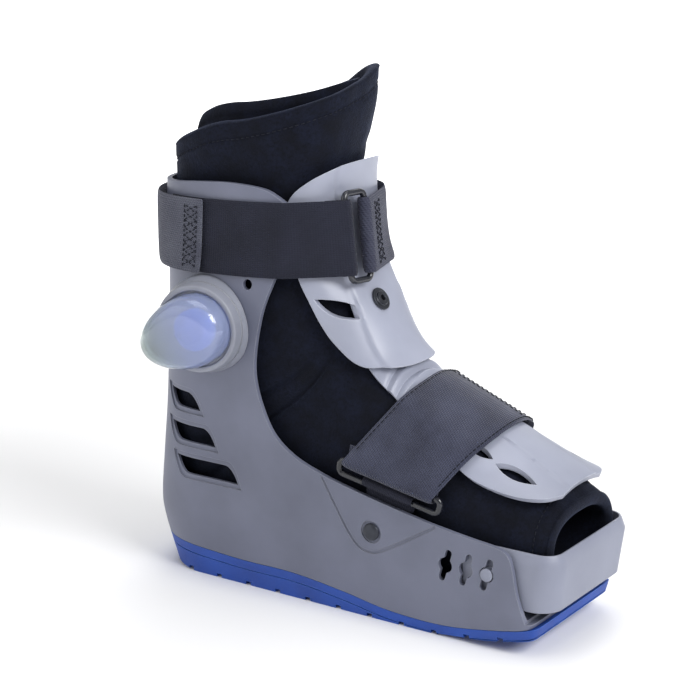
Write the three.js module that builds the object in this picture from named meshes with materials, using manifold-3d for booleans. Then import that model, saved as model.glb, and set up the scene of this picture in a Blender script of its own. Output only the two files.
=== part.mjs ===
// A short pneumatic walking boot for a right foot, as an assembly of its separate pieces.
// Millimetres. +X points to the toes, +Y to the inner side of the foot, +Z up.
// The origin is on the flat of the outsole, at the middle of its length.
import * as THREE from 'three';
import { mergeVertices } from 'three/addons/utils/BufferGeometryUtils.js';
import Module from 'manifold-3d';

const wasm = await Module();
wasm.setup();

// Overall sizes
const SOLE_LENGTH = 288;
const SOLE_WIDTH = 104;
const SHELL_HEIGHT = 257;
const FIT = 0.4;

// Walls
const SHELL_WALL = 3;
const GUARD_WALL = 3.6;
const LINER_WALL = 8;
const FLAP_WALL = 5;
const PLATE_WALL = 2.8;
const PANEL_RISE = 1.4;
const STRAP_THICKNESS = 2;

// Outsole and footbed
const FLOOR_HEIGHT = 22;
const OUTSOLE_OVERHANG = 0.6;
const TREAD_DEPTH = 2.4;
const TREAD_WIDTH = 4;
const TREAD_PITCH = 23;
const TREAD_COUNT = 11;

// Toe guard and the slots that hold it
const GUARD_REACH = 18;
const GUARD_LOW = 28;
const GUARD_TOP = 63;
const GUARD_CORNER = 14;
const GUARD_LEG = 62;
const GUARD_LIP = 7;
const GUARD_LIP_LEAN = 2.6;
const GUARD_FLARE = 3.5;
const SLOT_PITCH = 14;
const SLOT_LENGTH = 21;
const SLOT_WIDTH = 4.4;
const SLOT_TILT = 17;
const SLOT_LOBE = 4.7;
const SLOT_COUNT = 3;
const PEG_RADIUS = 4;
const PEG_PROUD = 1.2;

// Straps and their rectangular rings
const RING_WIRE = 4;
const LEG_STRAP_WIDTH = 45;
const LEG_STRAP_RISE = 2.2;
const LEG_RING_OPENING = 12;
const FOOT_STRAP_LEAN = 0.72;
const FOOT_RING_OPENING = 5;
const STRAP_TAIL = 9;
const STRAP_GAP = 0.9;

// Fasteners
const SIDE_RIVET_RADIUS = 5.4;
const SIDE_RIVET_DOME = 1.8;
const SIDE_RIVET_SHANK = 2.6;
const SIDE_RIVET_SEAT = 7;
const SIDE_RIVET_SEAT_DEPTH = 0.9;
const SHIN_RIVET_RADIUS = 7.2;
const SHIN_RIVET_BORE = 2;
const SHIN_RIVET_SHANK = 3.6;
const SHIN_RIVET_PROUD = 2.4;

// Air pump
const PUMP_RADIUS = 27;
const PUMP_YAW = 9;
const PUMP_PROUD = 15;
const PUMP_RIM = 3.4;
const PUMP_RIM_RISE = 2.4;
const BULB_LENGTH = 60;
const BULB_WIDTH = 44;
const BULB_HEIGHT = 17;
const BULB_WALL = 1.6;
const BULB_TILT = 24;
const BULB_TAPER = 0.14;
const BULB_SHIFT = 7;
const BULB_BASE = 3;
const BUTTON_RADIUS = 13;
const BUTTON_HEIGHT = 8;

// Where single features sit: along as a share of the sole length, up as a share of the shell height
const SIDE_RIVET = { along: 0.135, up: 0.222 };
const SHIN_RIVET = { up: 0.712, angle: -5 };
const PUMP = { along: -0.262, up: 0.664 };
const FIRST_SLOT = { along: 0.315, up: 0.183 };
const FOOT_RING_REAR = { along: 0.066, up: 0.382 };
const FOOT_RING_FRONT = { along: 0.282, up: 0.333 };
const LEG_STRAP = { up: 0.798 };
const STRAP_HOLE = { along: -0.16, up: 0.772, radius: 3.2 };

// How finely the curved surfaces are cut
const AROUND = 24;
const SHELL_AROUND = 28;
const SHELL_STEPS = 10;
const FORM_STEPS = 15;
const STRAP_STEPS = 3;

// Inside of the shell, section by section from the floor up: along X as shares of the sole length,
// half widths as shares of the sole width, squareness as the power of the section's superellipse.
const SHELL_ROWS = [
  { up: -0.02, back: -0.428, middle: -0.315, front: 0.494, half: 0.364, flare: 0.28, square: 2.5, nose: 26 },
  { up: 0.05, back: -0.453, middle: -0.313, front: 0.494, half: 0.395, flare: 0.24, square: 2.4, nose: 26 },
  { up: 0.11, back: -0.476, middle: -0.312, front: 0.51, half: 0.416, flare: 0.2, square: 2.3, nose: 26 },
  { up: 0.17, back: -0.485, middle: -0.31, front: 0.53, half: 0.429, flare: 0.18, square: 2.3, nose: 24 },
  { up: 0.29, back: -0.473, middle: -0.307, front: 0.53, half: 0.441, flare: 0.16, square: 2.3, nose: 20 },
  { up: 0.43, back: -0.459, middle: -0.293, front: 0.53, half: 0.456, flare: 0.12, square: 2.3, nose: 12 },
  { up: 0.58, back: -0.45, middle: -0.258, front: 0.4, half: 0.494, flare: 0.04, square: 2.3, nose: 5 },
  { up: 0.73, back: -0.444, middle: -0.2, front: 0.056, half: 0.526, flare: 0, square: 2.4, nose: 2.6 },
  { up: 0.84, back: -0.444, middle: -0.227, front: 0.01, half: 0.494, flare: 0, square: 2.5, nose: 2.6 },
  { up: 0.94, back: -0.446, middle: -0.236, front: -0.011, half: 0.479, flare: 0, square: 2.5, nose: 2.6 },
  { up: 1.04, back: -0.446, middle: -0.242, front: -0.03, half: 0.468, flare: 0, square: 2.5, nose: 2.6 },
];

// Outside of the liner, from the toe opening round the heel and up the leg: the section's front and
// back points, and its half width as a share of the room between the legs of the toe guard.
const FORM_ROWS = [
  { frontAlong: 0.522, frontUp: 0.33, backAlong: 0.527, backUp: 0.03, half: 0.93 },
  { frontAlong: 0.43, frontUp: 0.4, backAlong: 0.42, backUp: 0, half: 0.97 },
  { frontAlong: 0.33, frontUp: 0.455, backAlong: 0.306, backUp: 0, half: 0.985 },
  { frontAlong: 0.236, frontUp: 0.502, backAlong: 0.18, backUp: 0, half: 0.985 },
  { frontAlong: 0.165, frontUp: 0.54, backAlong: 0.049, backUp: 0, half: 0.955 },
  { frontAlong: 0.124, frontUp: 0.572, backAlong: -0.097, backUp: 0, half: 0.915 },
  { frontAlong: 0.1, frontUp: 0.597, backAlong: -0.236, backUp: 0.002, half: 0.9 },
  { frontAlong: 0.08, frontUp: 0.626, backAlong: -0.352, backUp: 0.012, half: 0.92 },
  { frontAlong: 0.0625, frontUp: 0.658, backAlong: -0.437, backUp: 0.075, half: 0.95 },
  { frontAlong: 0.0434, frontUp: 0.693, backAlong: -0.462, backUp: 0.225, half: 1 },
  { frontAlong: 0.0243, frontUp: 0.728, backAlong: -0.448, backUp: 0.42, half: 1.05 },
  { frontAlong: 0, frontUp: 0.77, backAlong: -0.44, backUp: 0.6, half: 1.09 },
  { frontAlong: -0.021, frontUp: 0.821, backAlong: -0.44, backUp: 0.72, half: 1.055 },
  { frontAlong: -0.0295, frontUp: 0.872, backAlong: -0.44, backUp: 0.785, half: 1.02 },
  { frontAlong: -0.033, frontUp: 0.945, backAlong: -0.441, backUp: 0.865, half: 0.985 },
  { frontAlong: -0.033, frontUp: 1.02, backAlong: -0.441, backUp: 0.945, half: 0.97 },
  { frontAlong: -0.018, frontUp: 1.12, backAlong: -0.438, backUp: 1.0, half: 1.03 },
  { frontAlong: 0, frontUp: 1.27, backAlong: -0.434, backUp: 1.06, half: 1.1 },
  { frontAlong: 0.008, frontUp: 1.42, backAlong: -0.43, backUp: 1.13, half: 1.12 },
];
const FORM_SQUARE = 2.6;

// Side view of the shell: its front edge, wall top, throat, wing and rim.
const SHELL_EDGE = [
  { along: 0.497, up: 0.08 },
  { along: 0.481, up: 0.145 },
  { along: 0.471, up: 0.205 },
  { along: 0.461, up: 0.236 },
  { along: 0.436, up: 0.252 },
  { along: 0.36, up: 0.262 },
  { along: 0.25, up: 0.28 },
  { along: 0.076, up: 0.319 },
  { along: 0, up: 0.341 },
  { along: -0.062, up: 0.368 },
  { along: -0.111, up: 0.412 },
  { along: -0.139, up: 0.478 },
  { along: -0.151, up: 0.548 },
  { along: -0.145, up: 0.615 },
  { along: -0.126, up: 0.7 },
  { along: -0.102, up: 0.79 },
  { along: -0.082, up: 0.875 },
  { along: -0.072, up: 0.925 },
  { along: -0.083, up: 0.955 },
  { along: -0.108, up: 0.98 },
  { along: -0.142, up: 0.997 },
  { along: -0.215, up: 1.003 },
  { along: -0.3, up: 0.996 },
  { along: -0.4, up: 0.982 },
  { along: -0.52, up: 0.97 },
];

// Side view of the outsole: where it meets the floor and where it meets the shell.
const OUTSOLE_BOTTOM = [
  { along: -0.52, up: 0.042 },
  { along: -0.44, up: 0.014 },
  { along: -0.36, up: 0.002 },
  { along: -0.3, up: 0 },
  { along: 0.22, up: 0 },
  { along: 0.3, up: 0.004 },
  { along: 0.4, up: 0.017 },
  { along: 0.52, up: 0.043 },
];
const OUTSOLE_TOP = [
  { along: -0.52, up: 0.084 },
  { along: -0.46, up: 0.08 },
  { along: -0.38, up: 0.077 },
  { along: -0.3, up: 0.071 },
  { along: -0.2, up: 0.066 },
  { along: -0.07, up: 0.066 },
  { along: 0.06, up: 0.05 },
  { along: 0.17, up: 0.031 },
  { along: 0.3, up: 0.028 },
  { along: 0.42, up: 0.047 },
  { along: 0.52, up: 0.07 },
];

// Heel vents in the side view, a row for each: the edges of a leaning leaf.
const VENTS = [
  { rear: -0.4, front: -0.305, top: 0.473, bottom: 0.431 },
  { rear: -0.398, front: -0.268, top: 0.388, bottom: 0.345 },
  { rear: -0.38, front: -0.21, top: 0.305, bottom: 0.262 },
];
const VENT_LEAN = 0.035;
const VENT_BROW = 3;
const VENT_BROW_DEPTH = 0.9;

// The raised vee beside each side rivet: its two arms and the round between them.
const VEE = [
  { along: 0.012, up: 0.332 },
  { along: 0.085, up: 0.2 },
  { along: 0.128, up: 0.172 },
  { along: 0.175, up: 0.19 },
  { along: 0.292, up: 0.27 },
];
const VEE_GROOVE = 1.8;
const VEE_DEPTH = 0.7;

// Side view of the shin plate: its edge from the top of the panel down the wing to the panel's foot.
const SHIN_EDGE = [
  { along: 0.03, up: 1.058 },
  { along: 0, up: 1.052 },
  { along: -0.031, up: 1.031 },
  { along: -0.059, up: 1.008 },
  { along: -0.083, up: 0.982 },
  { along: -0.097, up: 0.945 },
  { along: -0.094, up: 0.887 },
  { along: -0.076, up: 0.833 },
  { along: -0.059, up: 0.786 },
  { along: -0.038, up: 0.743 },
  { along: -0.016, up: 0.693 },
  { along: 0.007, up: 0.65 },
  { along: 0.042, up: 0.609 },
  { along: 0.075, up: 0.59 },
  { along: 0.11, up: 0.59 },
];
const SHIN_PANEL = { top: 0.2, bottom: 0.25 };
const SHIN_LEAVES = [
  { along: 0.018, up: 0.72, length: 29, width: 8.5, turn: -26 },
  { along: -0.034, up: 0.83, length: 29, width: 8.5, turn: -26 },
];

// Dorsal plate, from its neck under the shin plate to its tip: crest, half width and side edge.
const DORSAL_ROWS = [
  { along: 0.036, crest: 0.7, half: 0.25, edge: 0.66 },
  { along: 0.053, crest: 0.67, half: 0.258, edge: 0.63 },
  { along: 0.072, crest: 0.64, half: 0.265, edge: 0.59 },
  { along: 0.09, crest: 0.61, half: 0.27, edge: 0.56 },
  { along: 0.112, crest: 0.59, half: 0.277, edge: 0.54 },
  { along: 0.142, crest: 0.573, half: 0.285, edge: 0.512 },
  { along: 0.18, crest: 0.559, half: 0.31, edge: 0.482 },
  { along: 0.243, crest: 0.53, half: 0.355, edge: 0.437 },
  { along: 0.312, crest: 0.497, half: 0.395, edge: 0.402 },
  { along: 0.375, crest: 0.464, half: 0.41, edge: 0.378 },
  { along: 0.44, crest: 0.427, half: 0.405, edge: 0.365 },
  { along: 0.486, crest: 0.399, half: 0.372, edge: 0.362 },
  { along: 0.515, crest: 0.381, half: 0.31, edge: 0.363 },
  { along: 0.528, crest: 0.372, half: 0.23, edge: 0.364 },
];
const DORSAL_POWER = 2;
const DORSAL_STEPS = 12;
const DORSAL_COLUMNS = 8;
const DORSAL_PANEL = { rear: 0.1, front: 0.19 };
const DORSAL_LEAVES = [
  { along: 0.342, side: 0.28, length: 20, width: 6.5, turn: 0 },
  { along: 0.43, side: 0.285, length: 27, width: 8, turn: -4 },
];
const BELLOWS = { first: 0.122, pitch: 0.024, count: 3, radius: 1.4 };

// The collar: how high the outer layer and the inner flap reach at each angle from the front,
// lateral side negative. Heights are shares of the shell height.
const OUTER_RIM = [
  { angle: -180, up: 1.04 },
  { angle: -150, up: 1.055 },
  { angle: -120, up: 1.09 },
  { angle: -90, up: 1.135 },
  { angle: -50, up: 1.18 },
  { angle: -10, up: 1.215 },
  { angle: 22, up: 1.248 },
  { angle: 40, up: 1.25 },
  { angle: 60, up: 1.2 },
  { angle: 90, up: 1.13 },
  { angle: 130, up: 1.06 },
  { angle: 180, up: 1.04 },
];
const FLAP_RIM = [
  { angle: -132, up: 1.07 },
  { angle: -126, up: 1.13 },
  { angle: -112, up: 1.16 },
  { angle: -90, up: 1.185 },
  { angle: -40, up: 1.215 },
  { angle: 10, up: 1.23 },
  { angle: 60, up: 1.21 },
  { angle: 95, up: 1.15 },
  { angle: 112, up: 1.07 },
];
const FLAP_DEPTH = 0.17;

// Angles round the leg, from the front: where the ring's bars and the ends of the straps lie.
const LEG_RING_ANGLE = -16;
const LEG_RING_CLEAR = 34;
const LEG_STRAP_OVERLAP = -132;
const WEBBING_END = -105;
const MEDIAL_OVERLAP = 132;
const ANCHOR_LOW = 0.2;

const deg = THREE.MathUtils.degToRad;
const lerp = THREE.MathUtils.lerp;
const clamp = THREE.MathUtils.clamp;
const smoothstep = THREE.MathUtils.smoothstep;
const vec = (x, y, z) => new THREE.Vector3(x, y, z);
const along = (share) => share * SOLE_LENGTH;
const up = (share) => share * SHELL_HEIGHT;
const side = (share) => share * SOLE_WIDTH;
const run = (n, make) => Array.from({ length: n }, (_, k) => make(k));

// A column of a table at any place between two rows, on a smooth curve through all of them.
function smooth(rows, column, at) {
  const last = rows.length - 1;
  const i = clamp(Math.floor(at), 0, last - 1);
  const t = at - i;
  const [a, b, c, d] = [i - 1, i, i + 1, i + 2].map((k) => rows[clamp(k, 0, last)][column]);
  const [linear, square, cube] = [c - a, 2 * a - 5 * b + 4 * c - d, 3 * b - a - 3 * c + d];
  return 0.5 * (2 * b + linear * t + square * t * t + cube * t ** 3);
}

// The place where a steadily changing value passes the target, found by halving.
function whereReached(value, low, high, target) {
  const rising = value(high) > value(low);
  let [a, b] = [low, high];
  for (let n = 0; n < 26; n += 1) {
    const mid = (a + b) / 2;
    if (value(mid) < target === rising) a = mid;
    else b = mid;
  }
  return (a + b) / 2;
}

// A column of a table, looked up by the value of another one.
function lookup(rows, key, value, column) {
  const place = whereReached((k) => smooth(rows, key, k), 0, rows.length - 1, value);
  return smooth(rows, column, place);
}

// A closed mesh as a solid that can be joined and cut.
function toSolid(geometry) {
  const bare = geometry.clone();
  bare.deleteAttribute('normal');
  bare.deleteAttribute('uv');
  const merged = mergeVertices(bare, 1e-4);
  const vertProperties = new Float32Array(merged.attributes.position.array);
  const triVerts = new Uint32Array(merged.index.array);
  const solid = new wasm.Manifold(new wasm.Mesh({ numProp: 3, vertProperties, triVerts }));
  if (solid.volume() >= 0) return solid;
  triVerts.reverse();
  return new wasm.Manifold(new wasm.Mesh({ numProp: 3, vertProperties, triVerts }));
}

function toGeometry(solid) {
  const mesh = solid.getMesh();
  const geometry = new THREE.BufferGeometry();
  geometry.setAttribute('position', new THREE.BufferAttribute(mesh.vertProperties, 3));
  geometry.setIndex(new THREE.BufferAttribute(mesh.triVerts, 1));
  geometry.computeVertexNormals();
  return geometry;
}

// A solid from lists of points and faces of three or four corners.
function fromFaces(points, faces) {
  const geometry = new THREE.BufferGeometry();
  const numbers = points.flatMap((p) => [p.x, p.y, p.z]);
  geometry.setAttribute('position', new THREE.Float32BufferAttribute(numbers, 3));
  geometry.setIndex(faces.flatMap(([a, b, c, d]) => (d === undefined ? [a, b, c] : [a, b, c, a, c, d])));
  return toSolid(geometry);
}

// The faces between closed rings of equally many points.
function ringFaces(count, n, closed) {
  const faces = [];
  for (let i = 0; i < (closed ? count : count - 1); i += 1) {
    const m = ((i + 1) % count) * n;
    for (let j = 0; j < n; j += 1) {
      const k = (j + 1) % n;
      faces.push([i * n + j, i * n + k, m + k, m + j]);
    }
  }
  return faces;
}

// A solid through closed rings, closed at both ends by fans.
function loft(rings) {
  const n = rings[0].length;
  const points = rings.flat();
  const faces = ringFaces(rings.length, n, false);
  const centre = (ring) => ring.reduce((sum, p) => sum.add(p), vec(0, 0, 0)).divideScalar(n);
  points.push(centre(rings[0]), centre(rings[rings.length - 1]));
  const top = (rings.length - 1) * n;
  for (let j = 0; j < n; j += 1) {
    const k = (j + 1) % n;
    faces.push([k, j, points.length - 2], [top + j, top + k, points.length - 1]);
  }
  return fromFaces(points, faces);
}

// A hollow tube: rings that run up its outside, over the rim, and down its inside to the start.
const tube = (rings) => fromFaces(rings.flat(), ringFaces(rings.length, rings[0].length, true));

// A curved sheet with thickness: two grids of points, face by face, joined round their borders.
function sheet(outer, inner) {
  const rows = outer.length;
  const columns = outer[0].length;
  const size = rows * columns;
  const points = [...outer.flat(), ...inner.flat()];
  const faces = [];
  const id = (i, j) => i * columns + j;
  for (let i = 0; i + 1 < rows; i += 1) {
    for (let j = 0; j + 1 < columns; j += 1) {
      const quad = [id(i, j), id(i, j + 1), id(i + 1, j + 1), id(i + 1, j)];
      faces.push(quad, quad.map((k) => k + size).reverse());
    }
  }
  const border = (a, b) => faces.push([b, a, a + size, b + size]);
  for (let j = 0; j + 1 < columns; j += 1) {
    border(id(0, j), id(0, j + 1));
    border(id(rows - 1, j + 1), id(rows - 1, j));
  }
  for (let i = 0; i + 1 < rows; i += 1) {
    border(id(i + 1, 0), id(i, 0));
    border(id(i, columns - 1), id(i + 1, columns - 1));
  }
  return fromFaces(points, faces);
}

// The outward direction at each point of a grid, from its neighbours.
function gridNormals(grid) {
  return grid.map((row, i) => row.map((_, j) => {
    const [a, b] = [grid[Math.max(0, i - 1)][j], grid[Math.min(grid.length - 1, i + 1)][j]];
    const [c, d] = [row[Math.max(0, j - 1)], row[Math.min(row.length - 1, j + 1)]];
    return b.clone().sub(a).cross(d.clone().sub(c)).normalize();
  }));
}

const moved = (grid, normals, by) =>
  grid.map((row, i) => row.map((p, j) => p.clone().addScaledVector(normals[i][j], by)));

// A round wire along a closed run of points that lie in one plane.
function closedWire(path, normal, radius) {
  const sides = 6;
  return tube(path.map((p, i) => {
    const next = path[(i + 1) % path.length];
    const before = path[(i + path.length - 1) % path.length];
    const across = next.clone().sub(before).normalize().cross(normal);
    return run(sides, (k) => {
      const turn = (2 * Math.PI * k) / sides;
      const [a, b] = [radius * Math.cos(turn), radius * Math.sin(turn)];
      return p.clone().addScaledVector(across, a).addScaledVector(normal, b);
    });
  }));
}

const outline = (points) => new THREE.Shape(points.map(([x, y]) => new THREE.Vector2(x, y)));

// Flat outlines pushed through the boot, seen from the lateral side or from above.
const PLAIN = { bevelEnabled: false, curveSegments: 3 };

function sidePrism(shape, from, to) {
  const geometry = new THREE.ExtrudeGeometry(shape, { ...PLAIN, depth: to - from });
  return toSolid(geometry.rotateX(Math.PI / 2).translate(0, to, 0));
}

function topPrism(shape, from, to) {
  const geometry = new THREE.ExtrudeGeometry(shape, { ...PLAIN, depth: to - from });
  return toSolid(geometry.translate(0, 0, from));
}

// Points on a smooth curve through the rows of a table.
function curvePoints(rows, read, steps) {
  const knots = rows.map((row) => new THREE.Vector2(...read(row)));
  return new THREE.SplineCurve(knots).getPoints(steps).map((p) => [p.x, p.y]);
}

const alongUp = (row) => [along(row.along), up(row.up)];

// A pointed leaf of the given length and width, turned about its centre.
function leaf(x, y, length, width, turn) {
  const shape = new THREE.Shape();
  shape.moveTo(-length / 2, 0);
  shape.quadraticCurveTo(0, width, length / 2, 0);
  shape.quadraticCurveTo(0, -width, -length / 2, 0);
  const [c, s] = [Math.cos(deg(turn)), Math.sin(deg(turn))];
  return outline(shape.getPoints(5).slice(0, -1).map((p) => [x + p.x * c - p.y * s, y + p.x * s + p.y * c]));
}

function box(x0, x1, half, z0, z1) {
  const geometry = new THREE.BoxGeometry(x1 - x0, 2 * half, z1 - z0);
  return toSolid(geometry.translate((x0 + x1) / 2, 0, (z0 + z1) / 2));
}

function yCylinder(x, z, radius, from, to, sides = 18) {
  const geometry = new THREE.CylinderGeometry(radius, radius, to - from, sides);
  return toSolid(geometry.translate(x, (from + to) / 2, z));
}

// One section of the shell, read at any place between the rows of its table.
function shellRow(at) {
  const read = (column) => smooth(SHELL_ROWS, column, at);
  const [back, middle, front] = ['back', 'middle', 'front'].map((column) => along(read(column)));
  const [flare, square, nose] = ['flare', 'square', 'nose'].map(read);
  return { z: up(read('up')), half: side(read('half')), back, middle, front, flare, square, nose };
}

const SHELL_LAST = SHELL_ROWS.length - 1;
const shellRowAt = (z) => shellRow(whereReached((k) => up(smooth(SHELL_ROWS, 'up', k)), 0, SHELL_LAST, z));

// A point of the shell's surface: out is 0 on the inside of its wall and grows outwards.
function shellPoint(row, angle, out) {
  const [c, s] = [Math.cos(angle), Math.sin(angle)];
  const power = 2 / (c > 0 ? row.nose : row.square);
  const reach = (c > 0 ? row.front - row.middle : row.middle - row.back) + out;
  const x = row.middle + Math.sign(c) * reach * Math.abs(c) ** power;
  const spread = 1 + (row.flare * Math.max(0, x - row.middle)) / SOLE_LENGTH;
  return vec(x, Math.sign(s) * (row.half * spread + out) * Math.abs(s) ** power, row.z);
}

// The section's outline: its back half by angle, its front half by both its length and its bending.
function shellOutline(row, out, count) {
  const quarter = count / 4;
  const back = run(quarter, (j) => shellPoint(row, Math.PI * (1 - j / (2 * quarter)), out));
  const dense = run(241, (k) => shellPoint(row, (Math.PI / 2) * (1 - k / 240) ** 3, out))
    .filter((p, k, all) => k === 0 || p.distanceTo(all[k - 1]) > 1e-6);
  const weights = [0];
  const length = dense.slice(1).reduce((sum, p, k) => sum + p.distanceTo(dense[k]), 0);
  for (let k = 1; k < dense.length; k += 1) {
    const step = dense[k].clone().sub(dense[k - 1]);
    const next = dense[Math.min(dense.length - 1, k + 1)].clone().sub(dense[k]);
    const turn = next.lengthSq() > 0 ? step.angleTo(next) : 0;
    weights.push(weights[k - 1] + step.length() / length + (2 * turn) / Math.PI);
  }
  const front = run(quarter + 1, (j) => {
    const target = (weights[weights.length - 1] * j) / quarter;
    const k = clamp(weights.findIndex((w) => w >= target - 1e-9), 1, weights.length - 1);
    const t = clamp((target - weights[k - 1]) / Math.max(1e-9, weights[k] - weights[k - 1]), 0, 1);
    return dense[k - 1].clone().lerp(dense[k], t);
  });
  const one = [...back, ...front];
  return [...one, ...one.slice(1, -1).reverse().map((p) => vec(p.x, -p.y, p.z))];
}

const shellStep = (i, out) => shellOutline(shellRow((SHELL_LAST * i) / SHELL_STEPS), out, SHELL_AROUND);
const shellBody = (out) => loft(run(SHELL_STEPS + 1, (i) => shellStep(i, out)));

// How far the shell's wall stands from the middle plane at one place in the side view.
function shellSide(x, z, out) {
  const row = shellRowAt(z);
  const ahead = x > row.middle;
  const share = Math.abs(x - row.middle) / ((ahead ? row.front - row.middle : row.middle - row.back) + out);
  const power = ahead ? row.nose : row.square;
  const spread = 1 + (row.flare * Math.max(0, x - row.middle)) / SOLE_LENGTH;
  return (row.half * spread + out) * (1 - Math.min(1, share) ** power) ** (1 / power);
}

// The liner's greatest half width: what the shell and the toe guard's legs leave it.
const SIDE_ROOM = GUARD_WALL + 3 * FIT;
const FOREFOOT_INSIDE = shellSide(along(0.36), up(0.2), 0);
const LINER_HALF = FOREFOOT_INSIDE - SIDE_ROOM;
const LINER_BASE = FLOOR_HEIGHT + FIT;
const FORM_LAST = FORM_ROWS.length - 1;

// A point of the liner's outer surface: angle 0 on the instep and shin, 180 degrees on the sole and heel.
function formPoint(at, angle, out) {
  const read = (column) => smooth(FORM_ROWS, column, at);
  const front = vec(along(read('frontAlong')), 0, up(read('frontUp')));
  const back = vec(along(read('backAlong')), 0, lerp(LINER_BASE, SHELL_HEIGHT, Math.max(0, read('backUp'))));
  const reach = front.clone().sub(back).multiplyScalar(0.5);
  const length = reach.length();
  const [c, s] = [Math.cos(angle), Math.sin(angle)];
  const power = 2 / FORM_SQUARE;
  const height = Math.sign(c) * Math.abs(c) ** power * (length + out);
  const width = Math.sign(s) * Math.abs(s) ** power * (read('half') * LINER_HALF + out);
  const middle = front.add(back).multiplyScalar(0.5);
  return middle.addScaledVector(reach.divideScalar(length), height).add(vec(0, width, 0));
}

// The point of the liner's surface at one angle where a measure of the point reaches a target.
function onForm(measure, target, angle, out, from, to) {
  return formPoint(whereReached((k) => measure(formPoint(k, angle, out)), from, to, target), angle, out);
}

const LEG_FROM = 7;
const atHeight = (z, angle, out) => onForm((p) => p.z, z, angle, out, LEG_FROM, FORM_LAST);

function soleHeight(x) {
  return Math.max(0, up(lookup(OUTSOLE_BOTTOM, 'along', x / SOLE_LENGTH, 'up')));
}

// Outsole: the sole's outline, cut to a rocker below and to the shell's wave above, with treads.
function outsole() {
  const rings = [-0.01, 0.13].map((share) => {
    const out = SHELL_WALL + (share < 0 ? -OUTSOLE_OVERHANG : OUTSOLE_OVERHANG);
    return shellOutline({ ...shellRowAt(up(Math.max(0, share))), z: up(share) }, out, SHELL_AROUND);
  });
  const bottom = curvePoints(OUTSOLE_BOTTOM, alongUp, 14).map(([x, z]) => [x, Math.max(0, z)]);
  const top = curvePoints(OUTSOLE_TOP, alongUp, 14).reverse();
  const body = loft(rings).intersect(sidePrism(outline([...bottom, ...top]), -SOLE_WIDTH, SOLE_WIDTH));
  const grooves = run(TREAD_COUNT, (k) => {
    const x = (k - (TREAD_COUNT - 1) / 2 + 0.5) * TREAD_PITCH;
    const groove = new THREE.BoxGeometry(TREAD_WIDTH, 2 * SOLE_WIDTH, 2 * TREAD_DEPTH);
    return toSolid(groove.translate(x, 0, soleHeight(x)));
  });
  return body.subtract(wasm.Manifold.union(grooves));
}

// Three slanted slots with a round lobe each, for the pegs of the toe guard.
function slotOutline(x, z) {
  const [c, s] = [Math.cos(deg(SLOT_TILT)), Math.sin(deg(SLOT_TILT))];
  const half = (SLOT_LENGTH - SLOT_WIDTH) / 2;
  const steps = 3;
  const round = (end) => run(steps + 1, (k) => {
    const turn = deg(end > 0 ? 0 : 180) + (Math.PI * k) / steps;
    const [a, b] = [(SLOT_WIDTH / 2) * Math.cos(turn), end * half + (SLOT_WIDTH / 2) * Math.sin(turn)];
    return [x + a * c + b * s, z - a * s + b * c];
  });
  return outline([...round(1), ...round(-1)]);
}

function slots() {
  return run(SLOT_COUNT, (k) => {
    const [x, z] = [along(FIRST_SLOT.along) + k * SLOT_PITCH, up(FIRST_SLOT.up)];
    const bar = sidePrism(slotOutline(x, z), -SOLE_WIDTH, SOLE_WIDTH);
    return bar.add(yCylinder(x, z, SLOT_LOBE, -SOLE_WIDTH, SOLE_WIDTH, 10));
  });
}

// A heel vent's leaning leaf, grown by a margin.
function ventShape(vent, grow) {
  const [rear, front] = [along(vent.rear) - grow, along(vent.front) + grow];
  const [low, high] = [up(vent.bottom) - grow, up(vent.top) + grow];
  const lean = along(VENT_LEAN);
  const shape = new THREE.Shape();
  shape.moveTo(rear, high);
  shape.lineTo(front - lean, high);
  shape.quadraticCurveTo(front - lean * 0.4, high, front, low);
  shape.lineTo(rear + lean, low);
  shape.quadraticCurveTo(rear + lean * 0.4, low, rear, high);
  return shape;
}

// The vee as a band of even width along its centre line.
function veePrism() {
  const centre = curvePoints(VEE, alongUp, 8);
  const rim = (sign) => centre.map(([x, z], k) => {
    const [a, b] = [centre[Math.max(0, k - 1)], centre[Math.min(centre.length - 1, k + 1)]];
    const scale = (sign * VEE_GROOVE) / 2 / Math.hypot(b[0] - a[0], b[1] - a[1]);
    return [x - (b[1] - a[1]) * scale, z + (b[0] - a[0]) * scale];
  });
  return sidePrism(outline([...rim(-1), ...rim(1).reverse()]), -SOLE_WIDTH, SOLE_WIDTH);
}

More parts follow.
